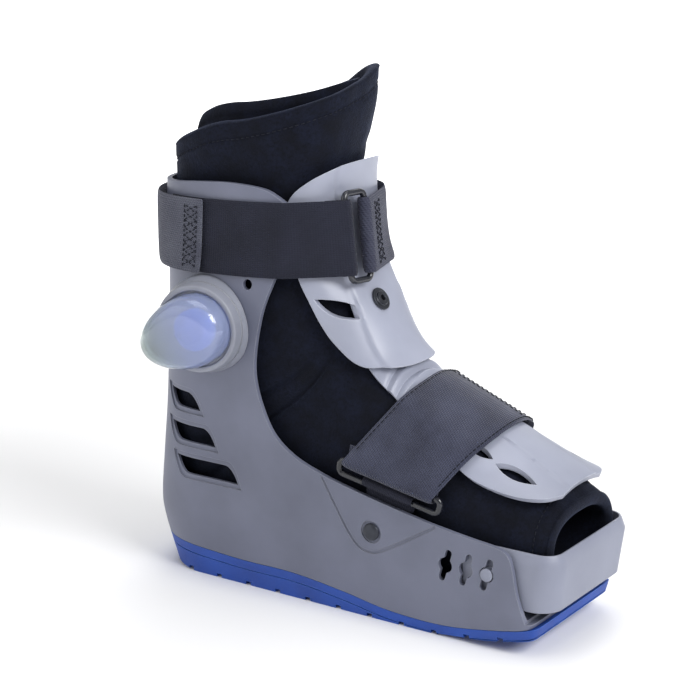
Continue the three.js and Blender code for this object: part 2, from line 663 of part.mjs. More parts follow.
// The shell: heel cup, side walls, upright and floor, with vents, slots, rivet seats and the vee.
function shell() {
  const edge = curvePoints(SHELL_EDGE, alongUp, 30);
  const toe = along(0.54);
  const keep = outline([[-toe, -FLOOR_HEIGHT], [toe, -FLOOR_HEIGHT], [toe, edge[0][1]], ...edge]);
  const aboveFloor = box(-SOLE_LENGTH, SOLE_LENGTH, SOLE_WIDTH, FLOOR_HEIGHT, 2 * SHELL_HEIGHT);
  const cavity = shellBody(0).intersect(aboveFloor);
  const under = curvePoints(OUTSOLE_TOP, alongUp, 14).map(([x, z]) => [x, z + FIT]);
  const below = outline([[-toe, -SOLE_WIDTH], [toe, -SOLE_WIDTH], ...under.reverse()]);
  const whole = shellBody(SHELL_WALL).intersect(sidePrism(keep, -SOLE_WIDTH, SOLE_WIDTH));
  const body = whole.subtract(sidePrism(below, -SOLE_WIDTH, SOLE_WIDTH)).subtract(cavity);
  const [x, z] = [along(SIDE_RIVET.along), up(SIDE_RIVET.up)];
  const brows = VENTS.map((vent) => sidePrism(ventShape(vent, VENT_BROW), -SOLE_WIDTH, SOLE_WIDTH));
  const holes = VENTS.map((vent) => sidePrism(ventShape(vent, 0), -SOLE_WIDTH, SOLE_WIDTH));
  const seats = yCylinder(x, z, SIDE_RIVET_SEAT, -SOLE_WIDTH, SOLE_WIDTH, 14);
  const reliefFloor = shellBody(SHELL_WALL - SIDE_RIVET_SEAT_DEPTH);
  const reliefs = [...brows, seats].map((prism) => prism.subtract(reliefFloor));
  const vee = veePrism().subtract(shellBody(SHELL_WALL - VEE_DEPTH));
  const shank = yCylinder(x, z, SIDE_RIVET_SHANK + FIT, -SOLE_WIDTH, SOLE_WIDTH, 8);
  const hole = { x: along(STRAP_HOLE.along), z: up(STRAP_HOLE.up) };
  const strapHole = yCylinder(hole.x, hole.z, STRAP_HOLE.radius, -SOLE_WIDTH, SOLE_WIDTH, 10);
  return body.subtract(wasm.Manifold.union([...reliefs, vee, ...holes, shank, strapHole, ...slots()]));
}

// Toe guard: a bent wall that slides between the shell's sides, with a peg on each leg.
const GUARD_FRONT = along(0.5) + GUARD_REACH;
const GUARD_REAR = GUARD_FRONT - GUARD_LEG;
const PEG_X = along(FIRST_SLOT.along) + (SLOT_COUNT - 1) * SLOT_PITCH;

function guardRing(inset, flare, z) {
  const room = (x) => shellSide(x, Math.min(z, up(0.22)), 0) - 2.5 * FIT - inset;
  const [half, front, corner] = [room(along(0.47)), GUARD_FRONT - inset + flare, GUARD_CORNER - inset];
  const bend = run(6, (k) => {
    const turn = (Math.PI / 2) * (1 - k / 5);
    return [front - corner + corner * Math.cos(turn), half - corner + corner * Math.sin(turn)];
  });
  const one = [[GUARD_REAR - GUARD_CORNER, room(GUARD_REAR - GUARD_CORNER)], ...bend];
  return [...one, ...one.map(([x, y]) => [x, -y]).reverse()].map(([x, y]) => vec(x, y, z));
}

function toeGuard() {
  const lip = GUARD_TOP - GUARD_LIP;
  const lean = GUARD_LIP_LEAN;
  const outer = loft([
    guardRing(0, -GUARD_FLARE, GUARD_LOW), guardRing(0, 0, lip), guardRing(lean, 0, GUARD_TOP),
  ]);
  const inner = loft([
    guardRing(GUARD_WALL, -GUARD_FLARE - 0.1, GUARD_LOW - 1), guardRing(GUARD_WALL, 0, lip),
    guardRing(GUARD_WALL + lean * 0.1, 0, GUARD_TOP + 1),
  ]);
  const rear = box(-SOLE_LENGTH, GUARD_REAR, SOLE_WIDTH, 0, SHELL_HEIGHT);
  const z = up(FIRST_SLOT.up);
  const from = shellSide(PEG_X, z, 0) - 2 * FIT - GUARD_WALL / 2;
  const to = shellSide(PEG_X, z, SHELL_WALL) + PEG_PROUD;
  const pegs = [[from, to], [-to, -from]].map(([a, b]) => yCylinder(PEG_X, z, PEG_RADIUS, a, b, 14));
  return outer.subtract(inner.add(rear)).add(wasm.Manifold.union(pegs));
}

// The place on the form's rows where the collar's rim lies at each angle.
const RIM_FROM = 14;
const rimPlace = (angle, sink) => {
  const turn = ((angle * 180) / Math.PI + 180) % 360 - 180;
  const target = up(lookup(OUTER_RIM, 'angle', turn, 'up')) - sink;
  return whereReached((k) => formPoint(k, angle, 0).z, RIM_FROM, FORM_LAST, target);
};

// Liner: one padded tube from the toe opening to the collar, its rim sloping up to the front.
function liner() {
  const angles = run(AROUND, (j) => (2 * Math.PI * j) / AROUND);
  const rims = angles.map((angle) => rimPlace(angle, 0));
  const ring = (share, out) => angles.map((angle, j) => formPoint(lerp(0, rims[j], share), angle, out));
  const shares = (steps) => run(steps + 1, (i) => i / steps);
  const hem = LINER_WALL / 2;
  const top = angles.map((angle, j) => formPoint(rims[j], angle, -hem).add(vec(0, 0, hem * 0.7)));
  const toe = angles.map((angle) => formPoint(0, angle, -hem).add(vec(hem * 0.5, 0, 0)));
  const outside = shares(FORM_STEPS).map((share) => ring(share, 0));
  const inside = shares(FORM_STEPS - 5).reverse().map((share) => ring(share, -LINER_WALL));
  return tube([...outside, top, ...inside, toe]);
}

// Inner flap: the liner's other end, lapped inside the collar and rising above it.
function linerFlap() {
  const last = FLAP_RIM.length - 1;
  const angles = run(17, (k) => lerp(FLAP_RIM[0].angle, FLAP_RIM[last].angle, k / 16));
  const low = up(FLAP_RIM[0].up - FLAP_DEPTH);
  const grid = (out) => [0, 0.4, 0.8, 1].map((share) => angles.map((angle) => {
    const top = up(lookup(FLAP_RIM, 'angle', angle, 'up'));
    return atHeight(lerp(low, top, share), deg(angle), -LINER_WALL - 5 * FIT - out);
  }));
  return sheet(grid(0), grid(FLAP_WALL));
}

// Dorsal plate: a shield on its own crowned surface, its neck running up under the shin plate.
const DORSAL_IN = FIT;
const DORSAL_OUT = DORSAL_IN + PLATE_WALL;

// The height of an offset of the liner's surface at one place in the top view.
function formHeight(x, y, out) {
  const at = (angle) => onForm((p) => p.x, x, angle, out, 0, 12);
  return at(y === 0 ? 0 : whereReached((angle) => at(angle).y, 0, deg(88), Math.abs(y))).z;
}

function dorsalPoint(place, s) {
  const read = (column) => smooth(DORSAL_ROWS, column, place);
  const [x, y] = [along(read('along')), s * side(read('half'))];
  const crowned = lerp(up(read('crest')), up(read('edge')), Math.abs(s) ** DORSAL_POWER);
  return vec(x, y, Math.max(crowned, formHeight(x, y, DORSAL_OUT + FIT)));
}

const dorsalGrid = run(DORSAL_STEPS + 1, (i) => run(DORSAL_COLUMNS + 1, (j) =>
  dorsalPoint((i / DORSAL_STEPS) * (DORSAL_ROWS.length - 1), (2 * j) / DORSAL_COLUMNS - 1)));

function dorsalPlate() {
  const grid = dorsalGrid;
  const normals = gridNormals(grid);
  const body = sheet(grid, moved(grid, normals, -PLATE_WALL));
  const raised = sheet(moved(grid, normals, PANEL_RISE * 0.7), moved(grid, normals, -PLATE_WALL / 2));
  const rear = along(DORSAL_ROWS[6].along);
  const panel = outline([
    [rear, -side(DORSAL_PANEL.rear)], [along(0.7), -side(DORSAL_PANEL.front)],
    [along(0.7), side(DORSAL_PANEL.front)], [rear, side(DORSAL_PANEL.rear)],
  ]);
  const cuts = DORSAL_LEAVES.flatMap((row) => [-1, 1].map((sign) => topPrism(
    leaf(along(row.along), sign * side(row.side), row.length, row.width, sign * row.turn), up(0.2), up(0.8),
  )));
  const ribs = run(BELLOWS.count, (k) => {
    const x = along(BELLOWS.first + k * BELLOWS.pitch);
    const z = up(lookup(DORSAL_ROWS, 'along', x / SOLE_LENGTH, 'crest')) + BELLOWS.radius * 0.35;
    return yCylinder(x, z, BELLOWS.radius, -SOLE_WIDTH, SOLE_WIDTH, 8);
  });
  const whole = body.add(raised.intersect(topPrism(panel, up(0.2), up(0.8))));
  return whole.subtract(wasm.Manifold.union([...cuts, ...ribs, rivetHole()]));
}

// Shin plate: over the dorsal plate's neck in the middle, down on the liner at its wings.
const SHIN_IN = DORSAL_OUT + 4 * FIT;
const SHIN_OUT = SHIN_IN + PLATE_WALL;
const shinLift = (angle) => lerp(SHIN_IN, 2 * FIT, smoothstep(Math.abs(angle), deg(34), deg(66)));

function shinPatch(low, high) {
  const grid = (add) => run(11, (i) => run(15, (j) => {
    const angle = deg(lerp(-104, 104, j / 14));
    return formPoint(lerp(4.2, 16.6, i / 10), angle, shinLift(angle) + add);
  }));
  return sheet(grid(high), grid(low));
}

function shinPlate() {
  const edge = curvePoints(SHIN_EDGE, alongUp, 22);
  const front = along(0.4);
  const keep = outline([[front, edge[0][1]], ...edge, [front, edge[edge.length - 1][1]]]);
  const prism = sidePrism(keep, -SOLE_WIDTH, SOLE_WIDTH);
  const panel = [[side(SHIN_PANEL.top), up(1.2)], [side(SHIN_PANEL.bottom), up(0.5)]];
  const wedge = loft([along(-0.1), front].map((x) => [
    vec(x, -panel[0][0], panel[0][1]), vec(x, -panel[1][0], panel[1][1]),
    vec(x, panel[1][0], panel[1][1]), vec(x, panel[0][0], panel[0][1]),
  ]));
  const raised = shinPatch(PLATE_WALL / 2, PLATE_WALL + PANEL_RISE).intersect(prism).intersect(wedge);
  const cuts = SHIN_LEAVES.map((row) => sidePrism(
    leaf(along(row.along), up(row.up), row.length, row.width, row.turn), -SOLE_WIDTH, SOLE_WIDTH,
  ).subtract(wedge));
  const body = shinPatch(0, PLATE_WALL).intersect(prism).add(raised);
  return body.subtract(wasm.Manifold.union([...cuts, rivetHole()]));
}

// The shin rivet's place and direction, and a round bar along it.
const rivetSeat = atHeight(up(SHIN_RIVET.up), deg(SHIN_RIVET.angle), 0);
const rivetAxis = (() => {
  const [below, above] = [-8, 8].map((rise) => atHeight(up(SHIN_RIVET.up) + rise, 0, 0));
  return vec(above.z - below.z, 0, below.x - above.x).normalize();
})();

function alongRivet(radius, from, to, sides) {
  const geometry = new THREE.CylinderGeometry(radius, radius, to - from, sides);
  const turn = new THREE.Quaternion().setFromUnitVectors(vec(0, 1, 0), rivetAxis);
  geometry.translate(0, (from + to) / 2, 0).applyQuaternion(turn);
  return toSolid(geometry.translate(rivetSeat.x, rivetSeat.y, rivetSeat.z));
}

const rivetHole = () => alongRivet(SHIN_RIVET_SHANK + FIT, -60, 60, 12);

// Shin rivet: a flanged eyelet through both plates.
function shinRivet() {
  const face = SHIN_OUT + PANEL_RISE + FIT;
  const flange = alongRivet(SHIN_RIVET_RADIUS, face, face + SHIN_RIVET_PROUD * 0.45, 14);
  const collar = alongRivet(SHIN_RIVET_RADIUS * 0.6, face, face + SHIN_RIVET_PROUD, 10);
  const shank = alongRivet(SHIN_RIVET_SHANK, DORSAL_OUT / 2, face + 0.1, 8);
  return flange.add(collar).add(shank).subtract(alongRivet(SHIN_RIVET_BORE, -20, face + 20, 8));
}

// Side rivets: a domed head in its seat and a shank through the shell.
function sideRivet(sign) {
  const [x, z] = [along(SIDE_RIVET.along), up(SIDE_RIVET.up)];
  const seat = shellSide(x, z, SHELL_WALL - SIDE_RIVET_SEAT_DEPTH) + FIT;
  const dome = run(4, (k) => {
    const turn = (Math.PI / 2) * ((k + 1) / 4);
    return [k === 3 ? 0 : SIDE_RIVET_RADIUS * Math.cos(turn), 0.5 + SIDE_RIVET_DOME * Math.sin(turn)];
  });
  const [deep, bar] = [-SHELL_WALL, SIDE_RIVET_SHANK];
  const profile = [[0, deep], [bar, deep], [bar, 0], [SIDE_RIVET_RADIUS, 0], ...dome];
  const geometry = new THREE.LatheGeometry(profile.map(([r, h]) => new THREE.Vector2(r, h)), 14);
  if (sign < 0) geometry.rotateX(Math.PI);
  return toSolid(geometry.translate(x, sign * seat, z));
}

// Leg straps: a taut loop round the shell and the shin plate, rising a little to the front.
const LEG_AXIS = along(-0.22);
const legLevel = (low, x) => low + Math.tan(deg(LEG_STRAP_RISE)) * x;

// The shell's front edge in the wing, as the x it reaches at one height.
const wingFront = (z) => along(lookup(SHELL_EDGE.slice(12, 19), 'up', z / SHELL_HEIGHT, 'along'));

// Seen from above, the outline a strap lies on at one level: no hollow, only straight spans over gaps.
function tautOutline(low, gap) {
  const points = [];
  for (let k = 0; k < 96; k += 1) {
    const angle = (2 * Math.PI * k) / 96 - Math.PI;
    let p = vec(0, 0, 0);
    for (let n = 0; n < 3; n += 1) p = shellPoint(shellRowAt(legLevel(low, p.x)), angle, SHELL_WALL + gap);
    if (p.x < wingFront(legLevel(low, p.x)) + gap) points.push([p.x, p.y]);
    if (Math.abs(angle) > deg(95)) continue;
    const stand = shinLift(angle) + PLATE_WALL + PANEL_RISE + gap;
    for (let n = 0; n < 3; n += 1) p = atHeight(legLevel(low, p.x), angle, stand);
    points.push([p.x, p.y]);
  }
  return hull(points);
}

// The convex outline round a set of points in the plane.
function hull(points) {
  const sorted = [...points].sort((a, b) => a[0] - b[0] || a[1] - b[1]);
  const chain = (list) => {
    const kept = [];
    for (const p of list) {
      while (kept.length > 1) {
        const [a, b] = [kept[kept.length - 2], kept[kept.length - 1]];
        if ((b[0] - a[0]) * (p[1] - a[1]) - (b[1] - a[1]) * (p[0] - a[0]) > 0) break;
        kept.pop();
      }
      kept.push(p);
    }
    return kept.slice(0, -1);
  };
  return [...chain(sorted), ...chain([...sorted].reverse())];
}

// The outline's point in one direction from the leg's middle.
function onOutline(corners, angle) {
  const [dx, dy] = [Math.cos(angle), Math.sin(angle)];
  for (let k = 0; k < corners.length; k += 1) {
    const [a, b] = [corners[k], corners[(k + 1) % corners.length]];
    const cross = (p) => dx * p[1] - dy * (p[0] - LEG_AXIS);
    const [ca, cb] = [cross(a), cross(b)];
    const t = ca / (ca - cb);
    if (ca * cb > 0 || ca === cb) continue;
    const p = [lerp(a[0], b[0], t), lerp(a[1], b[1], t)];
    if ((p[0] - LEG_AXIS) * dx + p[1] * dy > 0) return p;
  }
  return null;
}

const legLows = run(STRAP_STEPS + 1, (k) => up(LEG_STRAP.up) + (LEG_STRAP_WIDTH * k) / STRAP_STEPS);
const tautOutlines = legLows.map((low) => tautOutline(low, STRAP_GAP));

// A run of a leg strap at one level: lift is how far its middle line stands above the taut outline.
function legPath(level, from, to, lift, steps) {
  return run(steps + 1, (k) => {
    const angle = deg(lerp(from, to, k / steps));
    const here = onOutline(tautOutlines[level], angle);
    const sides = [-0.06, 0.06].map((turn) => onOutline(tautOutlines[level], angle + turn));
    const normal = vec(sides[1][1] - sides[0][1], sides[0][0] - sides[1][0], 0).normalize();
    const out = typeof lift === 'function' ? lift(k) : lift;
    const x = here[0] + normal.x * out;
    return { point: vec(x, here[1] + normal.y * out, legLevel(legLows[level], x)), normal };
  });
}

// A ribbon of even thickness from rows of points with their outward directions.
function ribbon(rows) {
  const half = STRAP_THICKNESS / 2;
  const face = (by) => rows.map((row) => row.map((p) => p.point.clone().addScaledVector(p.normal, by)));
  return sheet(face(half), face(-half));
}

const LOOP_RADIUS = RING_WIRE / 2 + FIT + STRAP_THICKNESS / 2;
const BAR_LIFT = STRAP_THICKNESS + STRAP_GAP + RING_WIRE / 2;

// The fold of a strap round a bar: a tail beneath it, a half turn, and the start of its outer run.
// The tail points the way its run goes, so the two never meet.
function fold(bar, outward, away, past = deg(24), lead = away) {
  const beneath = outward.clone().negate();
  const under = bar.clone().addScaledVector(beneath, LOOP_RADIUS);
  const tail = [1, 0.4].map((share) => ({
    point: under.clone().addScaledVector(lead, share * STRAP_TAIL),
    normal: beneath,
  }));
  const turned = run(6, (k) => {
    const turn = ((Math.PI + past) * k) / 5;
    const normal = outward.clone().multiplyScalar(-Math.cos(turn)).addScaledVector(away, -Math.sin(turn));
    return { point: bar.clone().addScaledVector(normal, LOOP_RADIUS), normal };
  });
  return [...tail, ...turned];
}

// A ring's place: its middle, the direction of its long bars, and the direction from bar to bar.
function frame(low, high, beside) {
  const rise = high.clone().sub(low).normalize();
  const middle = low.clone().add(high).multiplyScalar(0.5);
  const rough = beside.clone().sub(middle);
  const across = rough.addScaledVector(rise, -rough.dot(rise)).normalize();
  const outward = across.clone().cross(rise).normalize();
  return { middle, rise, across, outward, length: high.distanceTo(low) };
}

// A rectangular ring of round wire with rounded corners.
function rectangularRing({ middle, rise, across, outward, length }, opening) {
  const [h, w] = [length / 2 + RING_WIRE / 2 + 4 * FIT, (opening + RING_WIRE) / 2];
  const corner = RING_WIRE * 0.9;
  const path = [[1, 1], [1, -1], [-1, -1], [-1, 1]].flatMap(([a, b], k) => run(4, (n) => {
    const turn = (Math.PI / 2) * (k % 2 === 0 ? n / 3 : 1 - n / 3);
    const rises = a * (h - corner + corner * Math.sin(turn));
    const over = b * (w - corner + corner * Math.cos(turn));
    return middle.clone().addScaledVector(rise, rises).addScaledVector(across, over);
  }));
  return closedWire(path, outward, RING_WIRE / 2);
}

const legFrame = (() => {
  const lift = BAR_LIFT + LOOP_RADIUS;
  const at = (level, turn) => legPath(level, LEG_RING_ANGLE + turn, LEG_RING_ANGLE, lift, 1)[0].point;
  const [low, high] = [0, STRAP_STEPS].map((level) => at(level, -7).add(at(level, 7)).multiplyScalar(0.5));
  return frame(low, high, at(0, 7).add(at(STRAP_STEPS, 7)).multiplyScalar(0.5));
})();

// A leg strap that folds round one bar of the ring and runs off to its own side.
function legStrap(sign, start, end) {
  return ribbon(run(STRAP_STEPS + 1, (k) => {
    const { middle, rise, across, outward, length } = legFrame;
    const away = across.clone().multiplyScalar(sign);
    const bar = middle.clone().addScaledVector(rise, (k / STRAP_STEPS - 0.5) * length);
    bar.addScaledVector(across, (sign * (LEG_RING_OPENING + RING_WIRE)) / 2);
    const settle = (n) => STRAP_THICKNESS / 2 + Math.max(0, 1 - n / 2) * STRAP_THICKNESS;
    const path = legPath(k, start, end, settle, 13);
    const lead = path[0].point.clone().sub(bar).normalize();
    return [...fold(bar, outward, away, deg(24), lead), ...path];
  }));
}

// Webbing: the sewn band that carries both leg straps round the back of the shell.
const legWebbing = () => ribbon(run(STRAP_STEPS + 1, (k) =>
  legPath(k, WEBBING_END, -360 - WEBBING_END, STRAP_GAP + 1.5 * STRAP_THICKNESS + FIT, 14)));

// Foot strap: a leaning band over the instep between the lateral ring and the medial wall. A level is a
// plane that leans forward as it rises, and in it a point lies at its side y and at its climb.
const LEAN = vec(FOOT_STRAP_LEAN, 0, 1).normalize();
const footLevel = (p) => p.x * LEAN.z - p.z * LEAN.x;
const FOOT_NORMAL = vec(LEAN.z, 0, -LEAN.x);
const footBar = (share, rise) => vec(
  lerp(along(FOOT_RING_REAR.along), along(FOOT_RING_FRONT.along), share), 0,
  lerp(up(FOOT_RING_REAR.up), up(FOOT_RING_FRONT.up), share) + rise,
);
const footShares = run(STRAP_STEPS + 2, (k) => k / (STRAP_STEPS + 1));

// The lateral ring stands over the top of the shell's wall. A strap's middle line inside that wall.
const wallTop = up(0.33);
const ringMiddle = lerp(along(FOOT_RING_REAR.along), along(FOOT_RING_FRONT.along), 0.5);
const FOOT_RING_SIDE = shellSide(ringMiddle, wallTop, 0);
const againstWall = (x, z) => shellSide(x, Math.min(z, wallTop), 0) - 1.5 * FIT - STRAP_THICKNESS / 2;

// The taut outline over the dorsal plate and the liner, from the lateral ring to the medial wall.
function footOutline(share) {
  const bar = footBar(share, 0);
  const level = footLevel(bar);
  const rise = (p) => p.dot(LEAN);
  const points = [];
  for (let j = 0; j <= 16; j += 1) {
    const s = j / 8 - 1;
    const place = whereReached((k) => footLevel(dorsalPoint(k, s)), 0, DORSAL_ROWS.length - 1, level);
    const p = dorsalPoint(place, s);
    points.push([p.y * 1.03, rise(p) + PANEL_RISE + 3 * FIT]);
  }
  for (const angle of [30, 45, 60, 75, 90]) {
    const p = onForm(footLevel, level, deg(angle), 2 * FIT, 0.3, 11);
    if (p.z > bar.z) points.push([p.y, rise(p)], [-p.y, rise(p)]);
  }
  points.push([-FOOT_RING_SIDE - LOOP_RADIUS + STRAP_THICKNESS / 2, rise(bar)]);
  points.push([againstWall(bar.x, bar.z) - STRAP_THICKNESS / 2, rise(bar)]);
  return hull(points);
}

// A level's run of the strap: its middle line from the lateral bar over the crest to the medial side.
function footPath(share, steps) {
  const bar = footBar(share, 0);
  const level = footLevel(bar);
  const low = bar.dot(LEAN);
  const arc = footOutline(share).filter(([, w]) => w >= low - 1e-6).sort((a, b) => a[0] - b[0]);
  const lengths = [0];
  for (let k = 1; k < arc.length; k += 1) {
    lengths.push(lengths[k - 1] + Math.hypot(arc[k][0] - arc[k - 1][0], arc[k][1] - arc[k - 1][1]));
  }
  const at = (part) => {
    const target = clamp(part, 0, 1) * lengths[lengths.length - 1];
    const k = clamp(lengths.findIndex((l) => l >= target - 1e-9), 1, arc.length - 1);
    const t = (target - lengths[k - 1]) / (lengths[k] - lengths[k - 1]);
    return [lerp(arc[k - 1][0], arc[k][0], t), lerp(arc[k - 1][1], arc[k][1], t)];
  };
  return run(steps + 1, (n) => {
    const [y, w] = at(n / steps);
    const [before, next] = [at(n / steps - 0.03), at(n / steps + 0.03)];
    const normal = vec(0, before[1] - next[1], 0).addScaledVector(LEAN, next[0] - before[0]).normalize();
    const point = vec(0, y, 0).addScaledVector(LEAN, w).addScaledVector(FOOT_NORMAL, level);
    return { point: point.addScaledVector(normal, STRAP_THICKNESS / 2), normal };
  });
}

// The run from a bar's height down inside the shell's wall to the side rivet, narrowing as it goes.
function wallRun(share, sign, top, steps) {
  const bar = footBar(share, 0);
  return run(steps, (k) => {
    const t = (k + 1) / steps;
    const x = lerp(bar.x, along(SIDE_RIVET.along) + (bar.x - along(SIDE_RIVET.along)) * 0.45, t);
    const z = lerp(bar.z - top, up(ANCHOR_LOW), t);
    return { point: vec(x, sign * againstWall(x, z), z), normal: vec(0, sign, 0) };
  });
}

const footFrame = (() => {
  const drop = -(FOOT_RING_OPENING + RING_WIRE) / 2;
  const ends = [0, 1].map((share) => footBar(share, drop).setY(-FOOT_RING_SIDE));
  const beside = footBar(0.5, drop - 5).setY(-FOOT_RING_SIDE);
  return frame(ends[0], ends[1], beside);
})();

const sideRivetHole = () =>
  yCylinder(along(SIDE_RIVET.along), up(SIDE_RIVET.up), SIDE_RIVET_SHANK + FIT, -SOLE_WIDTH, SOLE_WIDTH, 8);

// The lateral end folds round the upper bar; the medial end runs down inside the wall to its rivet.
function footStrap() {
  const rows = footShares.map((share) => {
    const bar = footBar(share, 0).setY(-FOOT_RING_SIDE);
    const loop = fold(bar, vec(0, -1, 0), footFrame.across.clone().negate(), 0);
    return [...loop, ...footPath(share, 16).slice(1), ...wallRun(share, 1, 0, 4)];
  });
  return ribbon(rows).subtract(sideRivetHole());
}

// Anchor: a tab from the ring's lower bar down inside the lateral wall to the side rivet.
function footAnchor() {
  const rows = footShares.map((share) => {
    const inner = lerp(0.5, share, 0.55);
    const bar = footBar(inner, -(FOOT_RING_OPENING + RING_WIRE)).setY(-FOOT_RING_SIDE);
    const climb = wallRun(inner, -1, FOOT_RING_OPENING + 2 * RING_WIRE, 4).reverse();
    const turned = run(6, (k) => {
      const turn = (Math.PI * k) / 5;
      const normal = vec(0, Math.cos(turn), Math.sin(turn));
      return { point: bar.clone().addScaledVector(normal, LOOP_RADIUS), normal };
    });
    return [...climb.map(({ point, normal }) => ({ point, normal: normal.negate() })), ...turned];
  });
  return ribbon(rows).subtract(sideRivetHole());
}

// Air pump: a round housing on the lateral wall, with a raised rim, a soft bulb and a button under it.
const pumpAxis = vec(Math.sin(deg(PUMP_YAW)), -Math.cos(deg(PUMP_YAW)), 0);
const pumpSide = vec(Math.cos(deg(PUMP_YAW)), Math.sin(deg(PUMP_YAW)), 0);
const PUMP_SEAT = shellSide(along(PUMP.along), up(PUMP.up), SHELL_WALL);
const pumpFace = vec(along(PUMP.along), -PUMP_SEAT, up(PUMP.up)).addScaledVector(pumpAxis, PUMP_PROUD);

// Turns a lathe's profile (radius, height above the housing's face) to stand on the pump's axis.
function onPump(profile, sides) {
  const geometry = new THREE.LatheGeometry(profile.map(([r, h]) => new THREE.Vector2(r, h)), sides);
  const turn = new THREE.Matrix4().makeBasis(pumpSide, pumpAxis, vec(0, 0, 1)).setPosition(pumpFace);
  return toSolid(geometry.applyMatrix4(turn));
}

function pumpHousing() {
  const deep = -PUMP_PROUD - 16;
  const [r, rim] = [PUMP_RADIUS, PUMP_RIM];
  const profile = [
    [0, deep], [r + 3, deep], [r + 3, -PUMP_PROUD * 0.8], [r + 0.6, -PUMP_PROUD * 0.5], [r, -1.5],
    [r - 1, PUMP_RIM_RISE], [r - rim, PUMP_RIM_RISE], [r - rim - 0.8, 0], [0, 0],
  ];
  const tray = bulbBody(1.2, [-BULB_BASE, 0]);
  const body = onPump(profile, 18).add(tray).subtract(bulbBody(FIT, [0, BULB_HEIGHT]));
  return body.subtract(shellBody(SHELL_WALL + FIT));
}

// An egg-shaped body on the pump's face: a flat slab between two heights, or a dome with more of them.
function bulbBody(grow, heights, shares = [1, 1]) {
  return loft(heights.map((height, i) => run(16, (k) => {
    const turn = (2 * Math.PI * k) / 16;
    const [c, s] = [Math.cos(turn), Math.sin(turn)];
    const a = (BULB_LENGTH / 2 + grow) * shares[i] * c - BULB_SHIFT;
    const b = (BULB_WIDTH / 2 + grow) * shares[i] * s * (1 + BULB_TAPER * c);
    const [ct, st] = [Math.cos(deg(BULB_TILT)), Math.sin(deg(BULB_TILT))];
    return pumpFace.clone().addScaledVector(pumpSide, a * ct - b * st)
      .addScaledVector(vec(0, 0, 1), a * st + b * ct).addScaledVector(pumpAxis, height);
  })));
}

// The bulb: a soft dome with an even wall, open where it sits on the housing.
function pumpBulb() {
  const shares = [1, 1, 0.96, 0.84, 0.62, 0.3];
  const rises = [0.3, 0.62, 0.86, 0.97, 1];
  const dome = (grow, low, high) => bulbBody(grow, [low, ...rises.map((h) => high * h)], shares);
  return dome(0, FIT, BULB_HEIGHT).subtract(dome(-BULB_WALL, -1, BULB_HEIGHT - BULB_WALL));
}

function pumpButton() {
  const [r, h] = [BUTTON_RADIUS, BUTTON_HEIGHT];
  const profile = [[0, FIT], [r, FIT], [r, h * 0.6], [r * 0.8, h * 0.92], [r * 0.4, h], [0, h]];
  return onPump(profile, 14);
}

const hard = (color, roughness = 0.5, metalness = 0) => ({ color, roughness, metalness });
const soft = (color) => ({ color, roughness: 0.9, metalness: 0 });

const pieces = {
  outsole: [outsole, hard(0x2c63cf, 0.6)],
  shell: [shell, hard(0x6f7482)],
  toe_guard: [toeGuard, hard(0x7c8190)],
  liner: [liner, soft(0x1d2333)],
  liner_inner_flap: [linerFlap, soft(0x1d2333)],
  shin_plate: [shinPlate, hard(0x868b9b)],
  dorsal_plate: [dorsalPlate, hard(0x8a8f9e)],
  shin_rivet: [shinRivet, hard(0x2a2c33, 0.3, 0.8)],
  side_rivet_lateral: [() => sideRivet(-1), hard(0x4b4e58, 0.4, 0.3)],
  side_rivet_medial: [() => sideRivet(1), hard(0x4b4e58, 0.4, 0.3)],
  leg_ring: [() => rectangularRing(legFrame, LEG_RING_OPENING), hard(0x6d717c, 0.35, 0.4)],
  leg_strap_lateral: [() => legStrap(-1, LEG_RING_ANGLE - LEG_RING_CLEAR, LEG_STRAP_OVERLAP), soft(0x2b2e3a)],
  leg_strap_medial: [() => legStrap(1, LEG_RING_ANGLE + LEG_RING_CLEAR, MEDIAL_OVERLAP), soft(0x3c3f4d)],
  leg_webbing: [legWebbing, soft(0x4a4e5c)],
  foot_strap: [footStrap, soft(0x3f4250)],
  foot_ring: [() => rectangularRing(footFrame, FOOT_RING_OPENING), hard(0x24262e, 0.4, 0.2)],
  foot_anchor: [footAnchor, soft(0x2b2e3a)],
  pump_housing: [pumpHousing, hard(0x8b8f9c)],
  pump_bulb: [pumpBulb, hard(0xd6deec, 0.25)],
  pump_button: [pumpButton, hard(0x4f7fe0)],
};

const boot = new THREE.Group();
for (const [name, [make, finish]] of Object.entries(pieces)) {
  const mesh = new THREE.Mesh(toGeometry(make()), new THREE.MeshStandardMaterial(finish));
  mesh.name = name;
  boot.add(mesh);
}

export default boot;
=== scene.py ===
# %% [markdown]
# # A short walking boot, dressed for its picture
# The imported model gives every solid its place. This lesson puts smooth surfaces, cloth, webbing, thread
# and real finishes on it. All lengths inside the functions are millimetres; the mesh is in metres.

# %% Load the fixed frame
import math
import bmesh
import bpy
import numpy as np
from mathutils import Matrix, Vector


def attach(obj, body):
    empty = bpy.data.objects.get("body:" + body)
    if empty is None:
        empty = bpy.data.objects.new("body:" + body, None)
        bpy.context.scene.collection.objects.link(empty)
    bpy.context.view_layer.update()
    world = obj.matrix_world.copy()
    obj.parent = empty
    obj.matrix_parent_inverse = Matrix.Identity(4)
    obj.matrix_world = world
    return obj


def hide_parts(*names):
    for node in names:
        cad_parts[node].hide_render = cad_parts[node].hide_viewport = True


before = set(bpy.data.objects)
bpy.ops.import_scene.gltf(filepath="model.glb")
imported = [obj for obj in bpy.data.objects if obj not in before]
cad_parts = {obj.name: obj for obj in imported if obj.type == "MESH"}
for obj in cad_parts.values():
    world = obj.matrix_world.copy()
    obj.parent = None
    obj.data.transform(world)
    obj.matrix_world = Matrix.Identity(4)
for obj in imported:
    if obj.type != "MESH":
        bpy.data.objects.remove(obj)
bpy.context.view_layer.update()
print("solids:", len(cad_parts))

